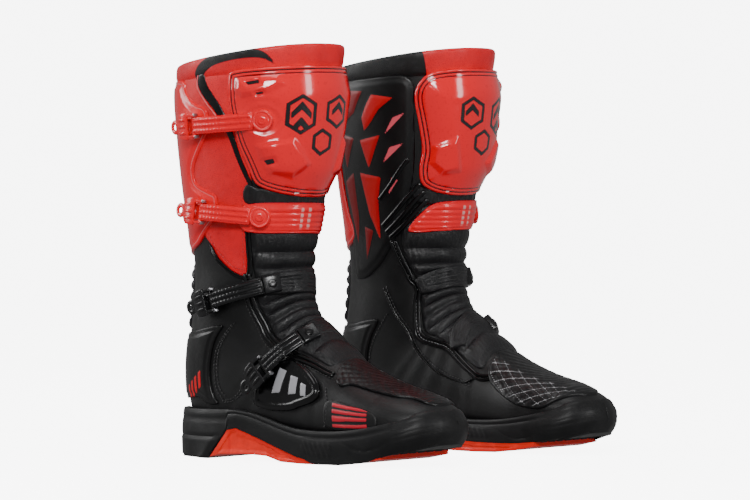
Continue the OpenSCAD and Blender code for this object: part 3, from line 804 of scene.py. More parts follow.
def bow(pts, low, rim):
    """Rounds the wall's top inwards, and the toe like a bow, as points are pulled towards the foot."""
    x, y, z = pts.T
    f = np.clip((z - low) / np.maximum(1.0, rim - low), 0, 1.05)
    toe = smooth(250, 300, x)
    lean = (2.6 + 5.6 * toe) * np.clip((f - .5) / .5, 0, None) ** 2 + 4.0 * toe * np.clip((.4 - f) / .4, 0, 1) ** 2
    cx = np.clip(x, 30, 262)
    dx, dy = x - cx, y
    r = np.maximum(6, np.hypot(dx, dy))
    x, y = cx + dx * (1 - lean / r), y * (1 - lean / r)
    cut = 24 * np.clip(1 - z / 29, 0, 1) * smooth(30, 79, x) * (1 - smooth(96, 128, x))
    return np.stack([x - cut, y, z], 1)


def outsole(side):
    xs = np.unique(np.r_[SOLE[:, 0], np.arange(0, 314, 1.6)])
    sections = []
    for x in xs:
        _, wo, wi, rim, _, lo_o, lo_i, floor = sole_at(x)
        lo_o -= 2.0 * smooth(176, 190, x) * (1 - smooth(252, 268, x))
        well = max(FLOOR_Z, floor + 2.6)
        closed = x <= 1.2 or x >= 310.6
        well = rim - .4 if closed else min(well, rim - .4)
        arch = 82 <= x <= 268
        step = 3.2 if arch else 2
        up = np.linspace(0, 1, 20)
        left, right = [], []
        for f in up:
            z = lo_o + (rim - lo_o) * f
            taper = 1.2 * (1 - f) ** 3 if not arch else .4 * (1 - f)
            left.append((-wo - wall_detail(x, z, lo_o, rim) * min(1, wo / 12) * .8 + taper, z))
            z = lo_i + (rim - lo_i) * f
            right.append((wi + wall_detail(x, z, lo_i, rim) * min(1, wi / 12) * .8 - taper, z))
        a, b = min(CUP_WALL, wo * .4), min(CUP_WALL, wi * .4)
        sec = left + [(-wo + a * .6, rim + .3), (-wo + a, rim - .2), (-wo + a + .4, well),
                      (wi - b - .4, well), (wi - b, rim - .2), (wi - b * .6, rim + .3)] + right[::-1]
        sec += [(wi - step, lo_i - .1), (wi - step - .6, floor), (-wo + step + .6, floor), (-wo + step, lo_o - .1)]
        sections.append(bow(np.array([(x, y, z) for y, z in sec], float), min(lo_o, lo_i), rim))
    pts, faces = loft(sections)
    return solid("cup_sole", side, [(pts, faces)], M["sole"], flat_angle=42)


HEEL_END = 82       # mm from the heel's back, where the arch starts


def tread(side):
    """Low lugs under the heel and the front of the sole."""
    parts = []
    for x in list(np.arange(8, 50, 9.5)) + list(np.arange(200, 290, 9.5)):
        _, wo, wi, _, _, _, _, floor = sole_at(x)
        for y in np.arange(-wo + 9, wi - 8, 13.0):
            off = 3 * math.sin(x)
            profile = ((-3.2, 0), (-3, .5), (3, .5), (3.2, 0))
            if x < HEEL_END:
                rows = [(x + s, y + off, 4.4, 0.05, 1.4) for s, _ in profile]
            else:
                rows = [(x + s, y + off, 4.4, floor - d, floor + 1.2) for s, d in profile]
            parts.append(bar_loft(rows, 8, 8))
    return solid("tread", side, parts, M["sole"], flat_angle=30)


def sole_insert(side):
    xs = np.unique(np.r_[SOLE[9:20, 0], 82.4, np.arange(84, 268, 1.3)])
    xs = xs[(xs >= 82.4) & (xs <= 268)]
    sections = []
    for x in xs:
        _, wo, wi, _, low, lo_o, lo_i, floor = sole_at(x)
        high = floor - .3
        a = 2.7 if lo_o > floor else 3.6
        b = 2.7 if lo_i > floor else 3.6
        wo -= 1.6 * smooth(176, 190, x)
        left, right = [], []
        for f in np.linspace(0, 1, 14):
            for side_y, top, out in ((-wo, lo_o - .3, left), (wi, lo_i - .3, right)):
                z = low + .4 + (top - low - .4) * f
                inset = low + 3 < z < top - 3.6 and x > 88
                dots = -.9 + .6 * max(0, math.sin(x * 2.3)) * max(0, math.sin(z * 2.3)) if inset else 0
                y = abs(side_y) - .3 + dots + .4 * math.exp(-((top - z) / 1.1) ** 2)
                out.append((math.copysign(y, side_y), z))
        sec = left + [(-wo + a, lo_o - .3), (-wo + a, high), (wi - b, high), (wi - b, lo_i - .3)] + right[::-1]
        sec += [(y, low + (.3 if int(x / 2.6) % 2 and int(abs(y) / 4) % 2 else 0))
                for y in np.linspace(wi - 3, -wo + 3, 13)]
        sections.append(np.array([(x, y, z) for y, z in sec], float))
    pts, faces = loft(sections)
    pts[:, 0] -= 24 * np.clip(1 - pts[:, 2] / 29, 0, 1) * (1 - smooth(96, 128, pts[:, 0]))
    low, top = np.interp(pts[:, 0], SOLE[:, 0], SOLE[:, 4]), np.interp(pts[:, 0], SOLE[:, 0], SOLE[:, 5])
    frame_d = 1.6 - np.minimum(np.abs(top - pts[:, 2] - 1.2), np.abs(pts[:, 0] - 84))
    return solid("sole_insert", side, [(pts, faces)], M["insert"], layers={"frame": frame_d}, flat_angle=42)


# ---------------------------------------------------------------- pieces of one boot


def own(ob, side, body, nodes=()):
    """Puts a finished piece on its body (a piece of the "bend" body has its placement baked into its mesh instead) and
    hides the CAD nodes it stands for.
    """
    if body == "bend":
        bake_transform(ob)
    else:
        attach(ob, f"{side}_{body}")
    if nodes:
        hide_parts(*[f"{side}_{n}" for n in nodes])
    return ob


def upper(side):
    rows = np.r_[np.linspace(.12, 2, 26), np.linspace(2.1, 18.5, 150)]
    cols = 120
    uu = np.linspace(0, 360, cols, endpoint=False)
    tt, ug = np.meshgrid(rows, uu, indexing="ij")
    a = np.abs(folded(ug))
    seam = 0
    for line in (3.35, 5.25):
        seam = seam + groove(tt, line + .35 * np.sin(np.radians(a)), .06) * .45 * smooth(30, 50, a)
    crease = .5 * np.sin(tt * 9 + np.sin(np.radians(ug) * 3)) * smooth(5.2, 6, tt) * (1 - smooth(8, 9, tt))
    outer = skin(tt, ug, .25 + seam + crease * .4)
    inner = skin(np.maximum(tt, .45), ug, -2.8)
    n = rows.size * cols
    pts = np.concatenate([outer.reshape(-1, 3), inner.reshape(-1, 3)])
    i, j = np.meshgrid(np.arange(rows.size - 1), np.arange(cols), indexing="ij")
    j1 = (j + 1) % cols
    f_out = np.stack([i * cols + j, i * cols + j1, (i + 1) * cols + j1, (i + 1) * cols + j], -1).reshape(-1, 4)
    f_in = f_out[:, ::-1] + n
    last = (rows.size - 1) * cols
    top = [(last + k, last + (k + 1) % cols, last + n + (k + 1) % cols, last + n + k) for k in range(cols)]
    centre_out = pts[:cols].mean(0) + [.8, 0, 0]
    centre_in = pts[n:n + cols].mean(0)
    pts = np.vstack([pts, centre_out, centre_in])
    toe = [(len(pts) - 2, (k + 1) % cols, k) for k in range(cols)]
    toe += [(len(pts) - 1, n + k, n + (k + 1) % cols) for k in range(cols)]
    faces = flip_if_inward(pts, f_out.tolist() + f_in.tolist() + top + toe)
    ob = build("upper", side, pts, faces, M["black"], flat_angle=60)
    return own(ob, side, "bend", ("foot_shell", "shaft_shell"))


def collar(side):
    def section(u):
        a = np.linspace(0, 2 * np.pi, 30, endpoint=False)
        c, s = np.cos(a), np.sin(a)
        puff = .35 * abs(math.sin(math.radians(u) * 7))
        t = 18.78 + .41 * np.sign(s) * np.abs(s) ** .75
        mid = -1.6
        off = mid + (4.7 + puff) * np.sign(c) * np.abs(c) ** .8 - .5 * smooth(18.7, 18.38, t) * (c > 0)
        off = off - .8 * np.exp(-((t - 18.62) / .03) ** 2) * (c > 0)
        return np.stack([t, off], 1)
    pts, faces, tt, uu = ring_loft(30, 168, section)
    f = folded(uu)
    p = cubic(np.array(STRIPE[:7], float), np.linspace(0, 6, 60))
    way = skin(p[:, 0], p[:, 1])
    at = skin(tt, uu)
    dist = np.sqrt(((at[:, None] - way[None]) ** 2).sum(-1))
    near = dist.argmin(1)
    dark_out = p[near, 2] - dist.min(1)
    dark_in = np.minimum(-f - (47 + (tt - 18.5) * 8), f + 150)
    section_n = 30
    k = np.tile(np.arange(section_n), 168)
    inner = np.cos(2 * np.pi * k / section_n) * -10
    ob = build("collar", side, pts, flip_if_inward(pts, faces), M["collar"],
               {"dark": np.maximum(dark_out, dark_in) * 1.1, "inner": inner}, flat_angle=80)
    return own(ob, side, "shaft", ("collar",))


def liner(side):
    rows = np.linspace(1.9, 18.62, 90)
    uu = np.linspace(0, 360, 72, endpoint=False)
    tt, ug = np.meshgrid(rows, uu, indexing="ij")
    quilt = .5 * np.abs(np.sin(tt * 3.1)) * np.abs(np.sin(np.radians(ug) * 6))
    face = 3.9 + 2.6 * np.clip((12.2 - tt) / 1.2, 0, 1)
    outer, inner = skin(tt, ug, -face), skin(tt, ug, -face - 4.4 - quilt)
    n, cols = tt.size, uu.size
    pts = np.concatenate([outer.reshape(-1, 3), inner.reshape(-1, 3)])
    i, j = np.meshgrid(np.arange(rows.size - 1), np.arange(cols), indexing="ij")
    j1 = (j + 1) % cols
    f = np.stack([i * cols + j, i * cols + j1, (i + 1) * cols + j1, (i + 1) * cols + j], -1).reshape(-1, 4)
    last = (rows.size - 1) * cols
    ends = [(last + k, last + (k + 1) % cols, last + n + (k + 1) % cols, last + n + k) for k in range(cols)]
    ends += [(n + k, n + (k + 1) % cols, (k + 1) % cols, k) for k in range(cols)]
    faces = flip_if_inward(pts, f.tolist() + (f[:, ::-1] + n).tolist() + ends)
    ob = build("liner", side, pts, faces, M["lining"], flat_angle=80)
    return own(ob, side, "bend", ("liner",))


STRIPE = [(18.58, 44, 1.0), (18.82, 55, 3.4), (18.94, 67, 4.6), (18.95, 80, 4.8), (18.86, 91, 5.2), (18.52, 100, 5.6),
          (18.2, 96, 5.2), (17.9, 90, 4.6), (17.5, 82, 3.8), (17.1, 75, 3.0), (16.6, 68, 2.4), (16.2, 61, 2.2), (16.05,
              58, 1.8)]


def ribbon(path, part=1.0):
    """Outline round a line of (t, u, half width) points."""
    p = cubic(np.array(path, float), np.linspace(0, len(path) - 1, 5 * len(path)))
    xy = skin(p[:, 0], p[:, 1])
    tan = np.gradient(xy, axis=0)
    tan /= np.linalg.norm(tan, axis=1)[:, None]
    et = skin(p[:, 0] + .05, p[:, 1]) - skin(p[:, 0] - .05, p[:, 1])
    eu = skin(p[:, 0], p[:, 1] + 1) - skin(p[:, 0], p[:, 1] - 1)
    lt, lu = np.linalg.norm(et, axis=1) / .1, np.linalg.norm(eu, axis=1) / 2
    a = (tan * et).sum(1) / (lt * .1)
    b = (tan * eu).sum(1) / (lu * 2)
    n = np.hypot(a, b)
    dt, du = -b / n / lt * p[:, 2] * part, a / n / lu * p[:, 2] * part
    return np.concatenate([np.stack([p[:, 0] + dt, p[:, 1] + du], 1), np.stack([p[:, 0] - dt, p[:, 1] - du], 1)[::-1]])


SHIN_EDGE = [(18.5, 77), (18.3, 77), (17.8, 76), (17.3, 72), (16.9, 68), (16.5, 61), (16.1, 55), (15.99, 47), (15.9,
    35),
             (15.82, 14), (15.8, -11), (15.88, -33), (16.05, -46), (16.4, -48), (16.8, -45), (17.4, -50), (17.9, -55),
             (18.2, -54), (18.45, -46), (18.5, -24), (18.5, 0), (18.5, 24), (18.5, 50)]
WEDGES = [[(18.36, 40), (18.34, 71), (18.05, 72), (17.86, 66), (17.98, 46), (18.15, 34)],
          [(17.05, 26), (16.92, 56), (16.6, 52), (16.28, 44), (16.2, 24), (16.5, 10)],
          [(17.1, -18), (16.9, -38), (16.5, -40), (16.25, -30), (16.3, -12)]]
RECESSES = [[(18.3, 54), (18.25, 66), (18.12, 62), (18.16, 52)], [(18.06, 50), (18.02, 58), (17.9, 56), (17.94, 49)],
            [(16.66, 40), (16.6, 50), (16.44, 46), (16.5, 38)]]
HEXES = [[(17.95, 22), (17.75, 34), (17.3, 34), (17.1, 22), (17.3, 10), (17.75, 10)],
         [(17.25, 4), (17.1, 12), (16.82, 12), (16.66, 4), (16.82, -4), (17.1, -4)],
         [(17.95, -8), (17.78, 2), (17.4, 2), (17.22, -8), (17.4, -18), (17.78, -18)]]
CHEVRONS = [[(17.8, 22), (17.56, 30), (17.42, 30), (17.62, 22), (17.42, 14), (17.56, 14)],
            [(17.48, 22), (17.3, 28), (17.18, 26), (17.3, 22), (17.18, 18), (17.3, 16)],
            [(17.8, -8), (17.62, -2), (17.5, -2), (17.64, -8), (17.5, -14), (17.62, -14)]]


def shin_plate(side):
    at, au = STRAPS[0][0]
    boss = skin(at, au)

    def height(t, u, d):
        h = 6.2 * smooth(0, 30, d) ** .8 + 1.8 * np.exp(-((t - 16.9) / .7) ** 2) * smooth(4, 26, d)
        for w in WEDGES:
            wd, _ = border_distance(t, u, np.array(w, float))
            h = h + 2.7 * np.clip(wd / 5.0, 0, 1)
        for w in RECESSES:
            wd, _ = border_distance(t, u, np.array(w, float))
            h = h - 1.5 * smooth(-.2, .9, wd)
        r = np.linalg.norm(skin(t, u) - boss, axis=-1)
        h = h * smooth(10, 24, r) + (4.6 * (1 - smooth(10, 24, r)))
        h = h + 1.0 * np.exp(-((r - 14.5) / 2.2) ** 2)
        h = h + .9 * (groove(d, 3.2, .8) + groove(d, 6.4, .6))
        return h

    def mark(t, u, d):
        ring = 1.7 - np.abs(poly_distance(t, u, HEXES) - 1.75)
        return np.maximum(ring, poly_distance(t, u, CHEVRONS))

    # recess_painted_shade paints shade into the middle of each recess, on top of the real 1.5 mm dip made in height()
    ob = panel("shin_plate", side, SHIN_EDGE, M["shin"], lift=2.2, thick=4.4, radius=2.0, step=1.25, height=height,
               passes=2, foot=3.2, layers={"mark": mark, "recess_painted_shade": lambda t, u, d: poly_distance(t, u, RECESSES) - 1.6})
    return own(ob, side, "shaft", ("shin_plate",))


def front_band(side):
    edge = [(15.06, 64), (15.02, 50), (15.02, 20), (15.0, -20), (14.92, -58), (15.2, -54), (15.66, -35), (15.7, -5),
            (15.7, 30), (15.7, 50), (15.66, 63), (15.52, 67.5), (15.36, 69), (15.2, 67.5)]

    def height(t, u, d):
        ribs = .9 * np.abs(np.sin((t - 15.03) * math.pi * 8.6)) ** .8 * smooth(44, 38, u) * smooth(2, 4, d)
        return ribs - .6 * np.exp(-((d - 2.2) / .6) ** 2)

    # painted highlight: the rib crests within two narrow columns near u 1 and u 9, coloured light pink where the
    # softboxes would reflect
    def rib_painted_highlight(t, u, d):
        k = np.minimum(np.abs(u - 9), np.abs(u - 1))
        return np.minimum(1.6 - k, .9 * np.abs(np.sin((t - 15.03) * math.pi * 8.6)) - .45) * smooth(3, 4, d) - (d < 3.5)

    ob = panel("front_band", side, edge, M["band"], layers={"rib_painted_highlight": rib_painted_highlight}, lift=1.6, thick=4.2, radius=1.1,
        height=height, step=1.1, foot=2.2)
    return own(ob, side, "shaft", ("front_band",))


def calf_plate(side):
    edge = [(18.46, 118), (18.1, 115), (17.8, 104), (17.7, 92), (17.2, 91), (16.8, 100), (16.4, 111), (16.1, 110),
            (15.93, 95), (15.85, 88), (15.5, 88.5), (15.3, 92), (15.0, 104), (14.65, 117), (14.45, 140), (14.18, 180),
            (14.45, 215), (14.6, 238), (14.9, 249), (15.4, 240), (15.9, 236), (17, 232), (18.46, 226), (18.46, 180)]

    def height(t, u, d):
        h = .9 * smooth(5, 8, d) - .5 * np.exp(-((d - 3.0) / .6) ** 2)
        spine = np.abs(u - 178)
        return h + 1.2 * smooth(16, 4, spine) * smooth(6, 14, d)

    ob = panel("calf_plate", side, edge, M["calf"], lift=.9, thick=1.9, radius=1.1, step=1.5, height=height, passes=2)
    return own(ob, side, "shaft", ("calf_plate",))


def side_panel(side):
    edge = [(18.52, 74), (17.8, 74), (16.9, 66), (16.2, 57), (15.9, 60), (15.0, 63), (13.6, 63), (13.2, 66), (13.45,
        76),
            (14.15, 91), (14.7, 98), (15.0, 108), (15.6, 112), (16.4, 114), (17.2, 114), (18.52, 122), (18.52, 100)]

    def height(t, u, d):
        soft = .35 * np.sin(t * 2.1 + 1) * np.sin(np.radians(u) * 5)
        return soft * smooth(0, 6, d) - .5 * np.exp(-((d - 2.6) / .7) ** 2)

    ob = panel("side_panel", side, edge, M["red_leather"], lift=.2, thick=1.1, radius=.8, step=1.8, height=height,
        passes=2)
    return own(ob, side, "shaft")


def collar_stripe(side):
    ob = panel("collar_stripe", side, ribbon([(18.5, 100, 5.4)] + STRIPE[6:]), M["black_gloss"], lift=1.1, thick=1.1,
        radius=.7, step=1.1, passes=0)
    own(ob, side, "shaft")
    edge = [(18.5, 101, 2.3), (18.2, 100.5, 2.3), (17.9, 94.5, 2.3), (17.5, 86, 2.3), (17.15, 79, 2.3)]
    line = piping("stripe_piping", side, [edge], M["light_red"], .7)
    return own(line, side, "shaft")


def gap_pad(side):
    edge = [(16.12, 62), (16.0, 50), (15.9, 20), (15.88, -15), (15.95, -40), (16.1, -50), (15.85, -56), (15.6, -48),
        (15.58, 0),
            (15.6, 40), (15.66, 64), (15.9, 66)]
    ob = panel("gap_pad", side, edge, M["black_pad"], lift=.3, thick=3.2, radius=2.6, step=1.2,
               height=lambda t, u, d: .5 * np.sin(u * .5) * smooth(1, 4, d))
    return own(ob, side, "shaft", ())


SHARDS_A = [[(18.2, 246), (18.15, 266), (17.62, 259), (17.3, 244)], [(17.15, 243), (17.05, 258), (16.35, 247)],
            [(16.1, 243), (16.3, 255), (15.3, 256), (14.6, 252)], [(15.1, 262), (15.0, 270), (14.0, 262)]]
SHARDS_B = [[(18.05, 272), (17.95, 288), (17.7, 278), (17.2, 268), (17.5, 266)], [(17.0, 264), (17.12, 279), (16.4,
    270)],
            [(16.3, 262), (16.2, 279), (15.7, 276), (14.7, 276), (15.4, 268)]]
SHARDS_C = [[(17.5, 289), (17.62, 299), (17.1, 282)], [(16.85, 287), (16.95, 299), (16.5, 281)], [(16.2, 288), (16.15,
    294), (15.8, 285)]]


def calf_guard(side):
    edge = [(13.2, 242), (14.2, 239), (15.2, 240), (16.4, 235), (18.46, 229), (18.46, 262), (18.46, 304), (17.6, 306),
            (16.5, 309), (15.7, 304), (14.9, 292), (14.4, 284), (13.9, 276), (13.2, 262)]

    def height(t, u, d):
        h = .9 * smooth(3, 8, d)
        for p in SHARDS_A + SHARDS_B:
            pd, _ = border_distance(t, u, np.array(p, float))
            h = h + .7 * np.clip(pd / 2.2, 0, 1)
        return h

    ob = panel("calf_guard", side, edge, M["shards"], lift=.3, thick=2.0, radius=1.2, step=1.5, height=height, passes=2,
               layers={"shard_a": lambda t, u, d: poly_distance(t, u, SHARDS_A),
                       "shard_b": lambda t, u, d: poly_distance(t, u, SHARDS_B),
                       "shard_c": lambda t, u, d: poly_distance(t, u, SHARDS_C)})
    return own(ob, side, "shaft", ("calf_guard",))


def front_bellows(side):
    edge = [(15.62, 60), (14.0, 58), (12.9, 55), (11.8, 55), (10.8, 51), (9.4, 47), (8.0, 47), (6.8, 43), (5.7, 39),
        (5.35, 34),
            (5.3, 10), (5.34, -20), (5.3, -52), (5.7, -56), (6.6, -50), (7.6, -47), (8.6, -52), (9.7, -50), (11.0,
                -46), (11.9, -43), (12.6, -50), (14.7, -66), (15.3, -60),
            (15.62, -50), (15.64, 0)]

    def height(t, u, d):
        wave = np.abs(np.sin(np.pi * (t - 7.0) * 1.22)) ** .75
        fine = .12 * np.sin(u * 1.1 + 2 * np.sin(t * 4))
        return 3.0 * wave * smooth(0, 6, d) * (1 - .35 * smooth(30, 60, np.abs(u))) + fine

    ob = panel("front_bellows", side, edge, M["bellows"], lift=.2, thick=1.4, radius=1.2, step=1.3, height=height,
        passes=2)
    return own(ob, side, "bend", ("front_bellows",))


def rear_bellows(side):
    edge = [(12.02, 152), (12.0, 180), (12.02, 208), (12.6, 214), (13.6, 212), (14.1, 206), (14.16, 180), (14.1, 154),
            (13.6, 148), (12.6, 146)]

    def height(t, u, d):
        return 2.6 * np.abs(np.sin(np.pi * (t - 12.0) * 2.6)) ** .75 * smooth(0, 4, d)

    ob = panel("rear_bellows", side, edge, M["bellows"], lift=.3, thick=1.6, radius=1.3, step=1.2, height=height)
    return own(ob, side, "bend", ("rear_bellows",))


def heel_counter(side):
    edge = [(11.25, 85), (10.9, 94), (10.5, 99), (10.0, 104), (9.3, 106), (8.7, 107), (8.9, 112), (9.7, 122), (10.0,
        137),
            (10.3, 160), (10.32, 180), (10.3, 200), (10.0, 223), (9.7, 238), (8.9, 248), (8.7, 253), (9.3, 255), (10.1,
                258),
            (10.6, 263), (11.2, 274), (11.5, 262), (11.85, 225), (12.0, 180), (11.85, 135), (11.55, 100)]
    marks = bars(9.82, 10.32, 111, 136, 4, 3)

    def height(t, u, d):
        return .8 * smooth(4, 7, d) + .5 * np.clip(poly_distance(t, u, marks) / 1.2, 0, 1)

    ob = panel("heel_counter", side, edge, M["counter"], lift=.5, thick=2.0, radius=1.2, step=1.3, height=height,
        passes=2,
               layers={"bars": lambda t, u, d: poly_distance(t, u, marks)})
    return own(ob, side, "foot", ("heel_counter",))


def ankle_guard(side):
    edge = [(7.1, 52), (6.5, 53), (6.0, 55), (5.55, 60), (5.4, 67), (5.42, 75), (5.65, 83), (6.0, 89), (6.5, 93), (7.1,
        95),
            (7.5, 93), (7.75, 84), (7.8, 74), (7.5, 60)]

    slots = [[(7.14, 65), (7.0, 84), (6.74, 82), (6.8, 65)], [(6.56, 67), (6.44, 82), (6.2, 80), (6.26, 67)],
             [(6.1, 70), (6.03, 80.5), (5.84, 79.5), (5.9, 70)]]

    def height(t, u, d):
        window = poly_distance(t, u, slots)
        return 1.3 * smooth(2.2, 3.6, d) - 1.0 * smooth(5.6, 6.6, d) + .7 * np.clip(window / .8, 0, 1)

    ob = panel("ankle_guard", side, edge, M["guard"], lift=.5, thick=2.6, radius=1.3, step=.9, height=height, passes=1,
               layers={"grille": lambda t, u, d: poly_distance(t, u, slots)})
    return own(ob, side, "foot", ("ankle_guard",))


def shift_pad(side):
    edge = [(5.1, 44), (4.8, 53), (4.5, 39), (3.8, 35), (3.1, 33), (2.7, 22), (1.9, 24), (1.5, 14), (1.42, 0), (1.5,
        -16),
            (1.9, -32), (2.4, -60), (3.0, -86), (3.9, -82), (4.7, -68), (5.1, -56), (5.25, -20), (5.25, 12)]

    def lines(t, u, d):
        net = np.minimum(np.abs(((t * 1.9 + u * .06) % 1) - .5), np.abs(((t * 1.9 - u * .06) % 1) - .5)) * 18
        return np.where(u < -22, .7 - net, -3) * smooth(1, 3, d) - 2 * (1 - smooth(1, 3, d))

    def height(t, u, d):
        toe = .9 * np.abs(np.sin(np.pi * (t - 1.4) * 3.4)) ** .7 * smooth(2.9, 2.5, t)
        net = np.abs(np.sin((t * 3.6 + u * .09) * math.pi) * np.sin((t * 3.6 - u * .09) * math.pi)) ** .5
        return (toe + .7 * net * smooth(2.6, 3.0, t)) * smooth(1.5, 3.5, d) + .7 * np.exp(-((d - 1.4) / .9) ** 2)

    ob = panel("shift_pad", side, edge, M["pad"], lift=.4, thick=1.8, radius=1.2, step=1.05, height=height, passes=2,
               layers={"lines": lines})
    return own(ob, side, "foot", ("shift_pad",))


def keepers(side):
    """Bands that carry the ankle and instep straps round the front."""
    def ribs(t, u, d):
        return .75 * np.abs(np.sin(d * math.pi / 3.0)) ** .8 * smooth(1.5, 2.5, d) + .3 * np.exp(-((d - 1.2) / .6) ** 2)

    path = [(12.28, 48, 8.5), (12.2, 34, 10.5), (12.1, 16, 11), (12.0, -8, 11), (11.92, -28, 11), (11.86, -43, 10),
        (11.84, -48, 8)]
    ob = panel("ankle_keeper", side, ribbon(path), M["black_pad"], lift=3.4, thick=2.0, radius=1.1, step=1.0,
        height=ribs,
               passes=0, foot=2.6)
    own(ob, side, "bend")
    path = [(7.0, 33, 8.5), (7.15, 20, 10), (7.25, 0, 10.5), (7.1, -20, 10.5), (6.75, -38, 9.5), (6.5, -47, 8)]
    ob = panel("instep_keeper", side, ribbon(path), M["black_pad"], lift=3.2, thick=2.0, radius=1.1, step=1.0,
        height=ribs,
               passes=0, foot=2.6)
    return own(ob, side, "foot")


def side_patch(side):
    edge = [(5.1, 72), (5.25, 84), (5.2, 100), (4.8, 104), (3.8, 104), (3.4, 96), (3.4, 78), (3.9, 70), (4.6, 69)]
    marks = bars(3.7, 4.9, 74, 101, 4, -4, .6)
    ob = panel("side_patch", side, edge, M["patch"], lift=.2, thick=.9, radius=.7, step=1.0, passes=2,
               height=lambda t, u, d: .6 * np.clip(poly_distance(t, u, marks) / 1.0, 0, 1),
               layers={"bars": lambda t, u, d: poly_distance(t, u, marks)})
    return own(ob, side, "foot")


def trims(side):
    """Piping and stitches."""
    outer = [(13.4, 62, 1.6), (12.9, 60, 1.6), (11.8, 58, 1.7), (10.8, 53.5, 1.7), (9.4, 49.5, 1.7), (8, 49, 1.7),
        (7.2, 48, 1.7),
             (6.6, 47, 1.7), (5.6, 43, 1.5), (5.15, 39, 1.2)]
    outer2 = [(t, u + 4.4, o) for t, u, o in outer]
    inner = [(14.7, -70, 1.6), (13.6, -60, 1.6), (12.6, -53, 1.7), (11.9, -46, 1.7), (10.8, -49, 1.7), (9.7, -53, 1.7),
             (8.6, -55, 1.7), (7.6, -51, 1.7), (6.9, -50, 1.6), (5.8, -60, 1.4), (5.3, -60, 1.2), (4.7, -45, 1.0)]
    inner2 = [(t, u - 4.2, o) for t, u, o in inner]
    own(piping("edge_piping", side, [outer, outer2, inner, inner2], M["black_gloss"], 1.5, 1.5, 1.25), side, "bend")
    bead = [(15.4, 63.5, 1.9), (14.6, 62.5, 1.9), (13.8, 62, 1.9), (13.2, 64.5, 1.9), (13.45, 75, 1.9), (14.15, 91,
        1.9),
            (14.7, 99, 1.9)]
    bead2 = [(t - (.12 if u > 64 else 0), u - (3.4 if u < 66 else 0), o) for t, u, o in bead]
    own(piping("panel_bead", side, [bead, bead2], M["black_gloss"], 1.0, 1.5), side, "shaft")
    diag = [(15.74, -38, 3.2), (15.45, -50, 3.2), (15.12, -62, 3.1), (14.75, -76, 3.0)]
    bands = [[(t + dt, u + du, o) for t, u, o in diag] for dt, du in ((0, 0), (.17, -3.5), (.34, -7))]
    bands.append([(16.62, -57, 2.9), (16.3, -66, 2.9), (16.0, -74, 2.9), (15.7, -84, 2.9)])
    own(piping("guard_piping", side, bands, M["black_gloss"], 1.5, 1.5, 1.7), side, "shaft")
    glint = [(12.4, -82, 1.0), (11.0, -72, 1.0), (9.4, -64, 1.0), (8, -68, 1.0), (6.6, -76, 1.0), (5.9, -76, 1.0),
        (5.6, -68, 1.0)]
    own(piping("inner_piping", side, [glint], M["black_gloss"], .9, 1.5), side, "bend")
    shift = lambda line, du, dt=0.0, o=None: [(t + dt, u + du, (q if o is None else o)) for t, u, q in line]
    own(stitching("white_stitches", side, [shift(inner, -2.1, 0, 1.0)], M["white_thread"]), side, "bend")
    heel = [(11.0, 80, .5), (10.6, 92, .5), (10.1, 98, .5), (9.4, 101, .5), (8.7, 102, .5)]
    vamp = [(8.2, 78, .6), (8.1, 88, .6), (8.2, 97, .6), (8.5, 103, .6)]
    toe = [(5.25, 62, .6), (5.1, 80, .6), (5.2, 100, .6)]
    in_seam = [(12.5, -81, .6), (11.0, -70, .6), (9.4, -62, .6), (8, -66, .6), (6.4, -74, .6), (5.7, -74, .6)]
    in_heel = [(11.2, -80, .6), (10.6, -92, .6), (10.1, -99, .6), (9.3, -103, .6)]
    seams = [heel, shift(heel, -3), vamp, shift(vamp, 0, .12), toe, in_seam, shift(in_seam, -3), in_heel]
    own(stitching("black_stitches", side, seams + [shift(outer, 7.5, 0, .8)], M["black_thread"], r=.42), side, "bend")
    side_st = [(13.65, 68, 1.5), (13.85, 78, 1.5), (14.4, 90, 1.5), (15.0, 99, 1.5)]
    own(stitching("red_stitches", side, [side_st, [(15.8, 66, 1.5), (14.8, 66.5, 1.5), (13.8, 66.5, 1.5)]],
        M["red_thread"]),
        side, "shaft")


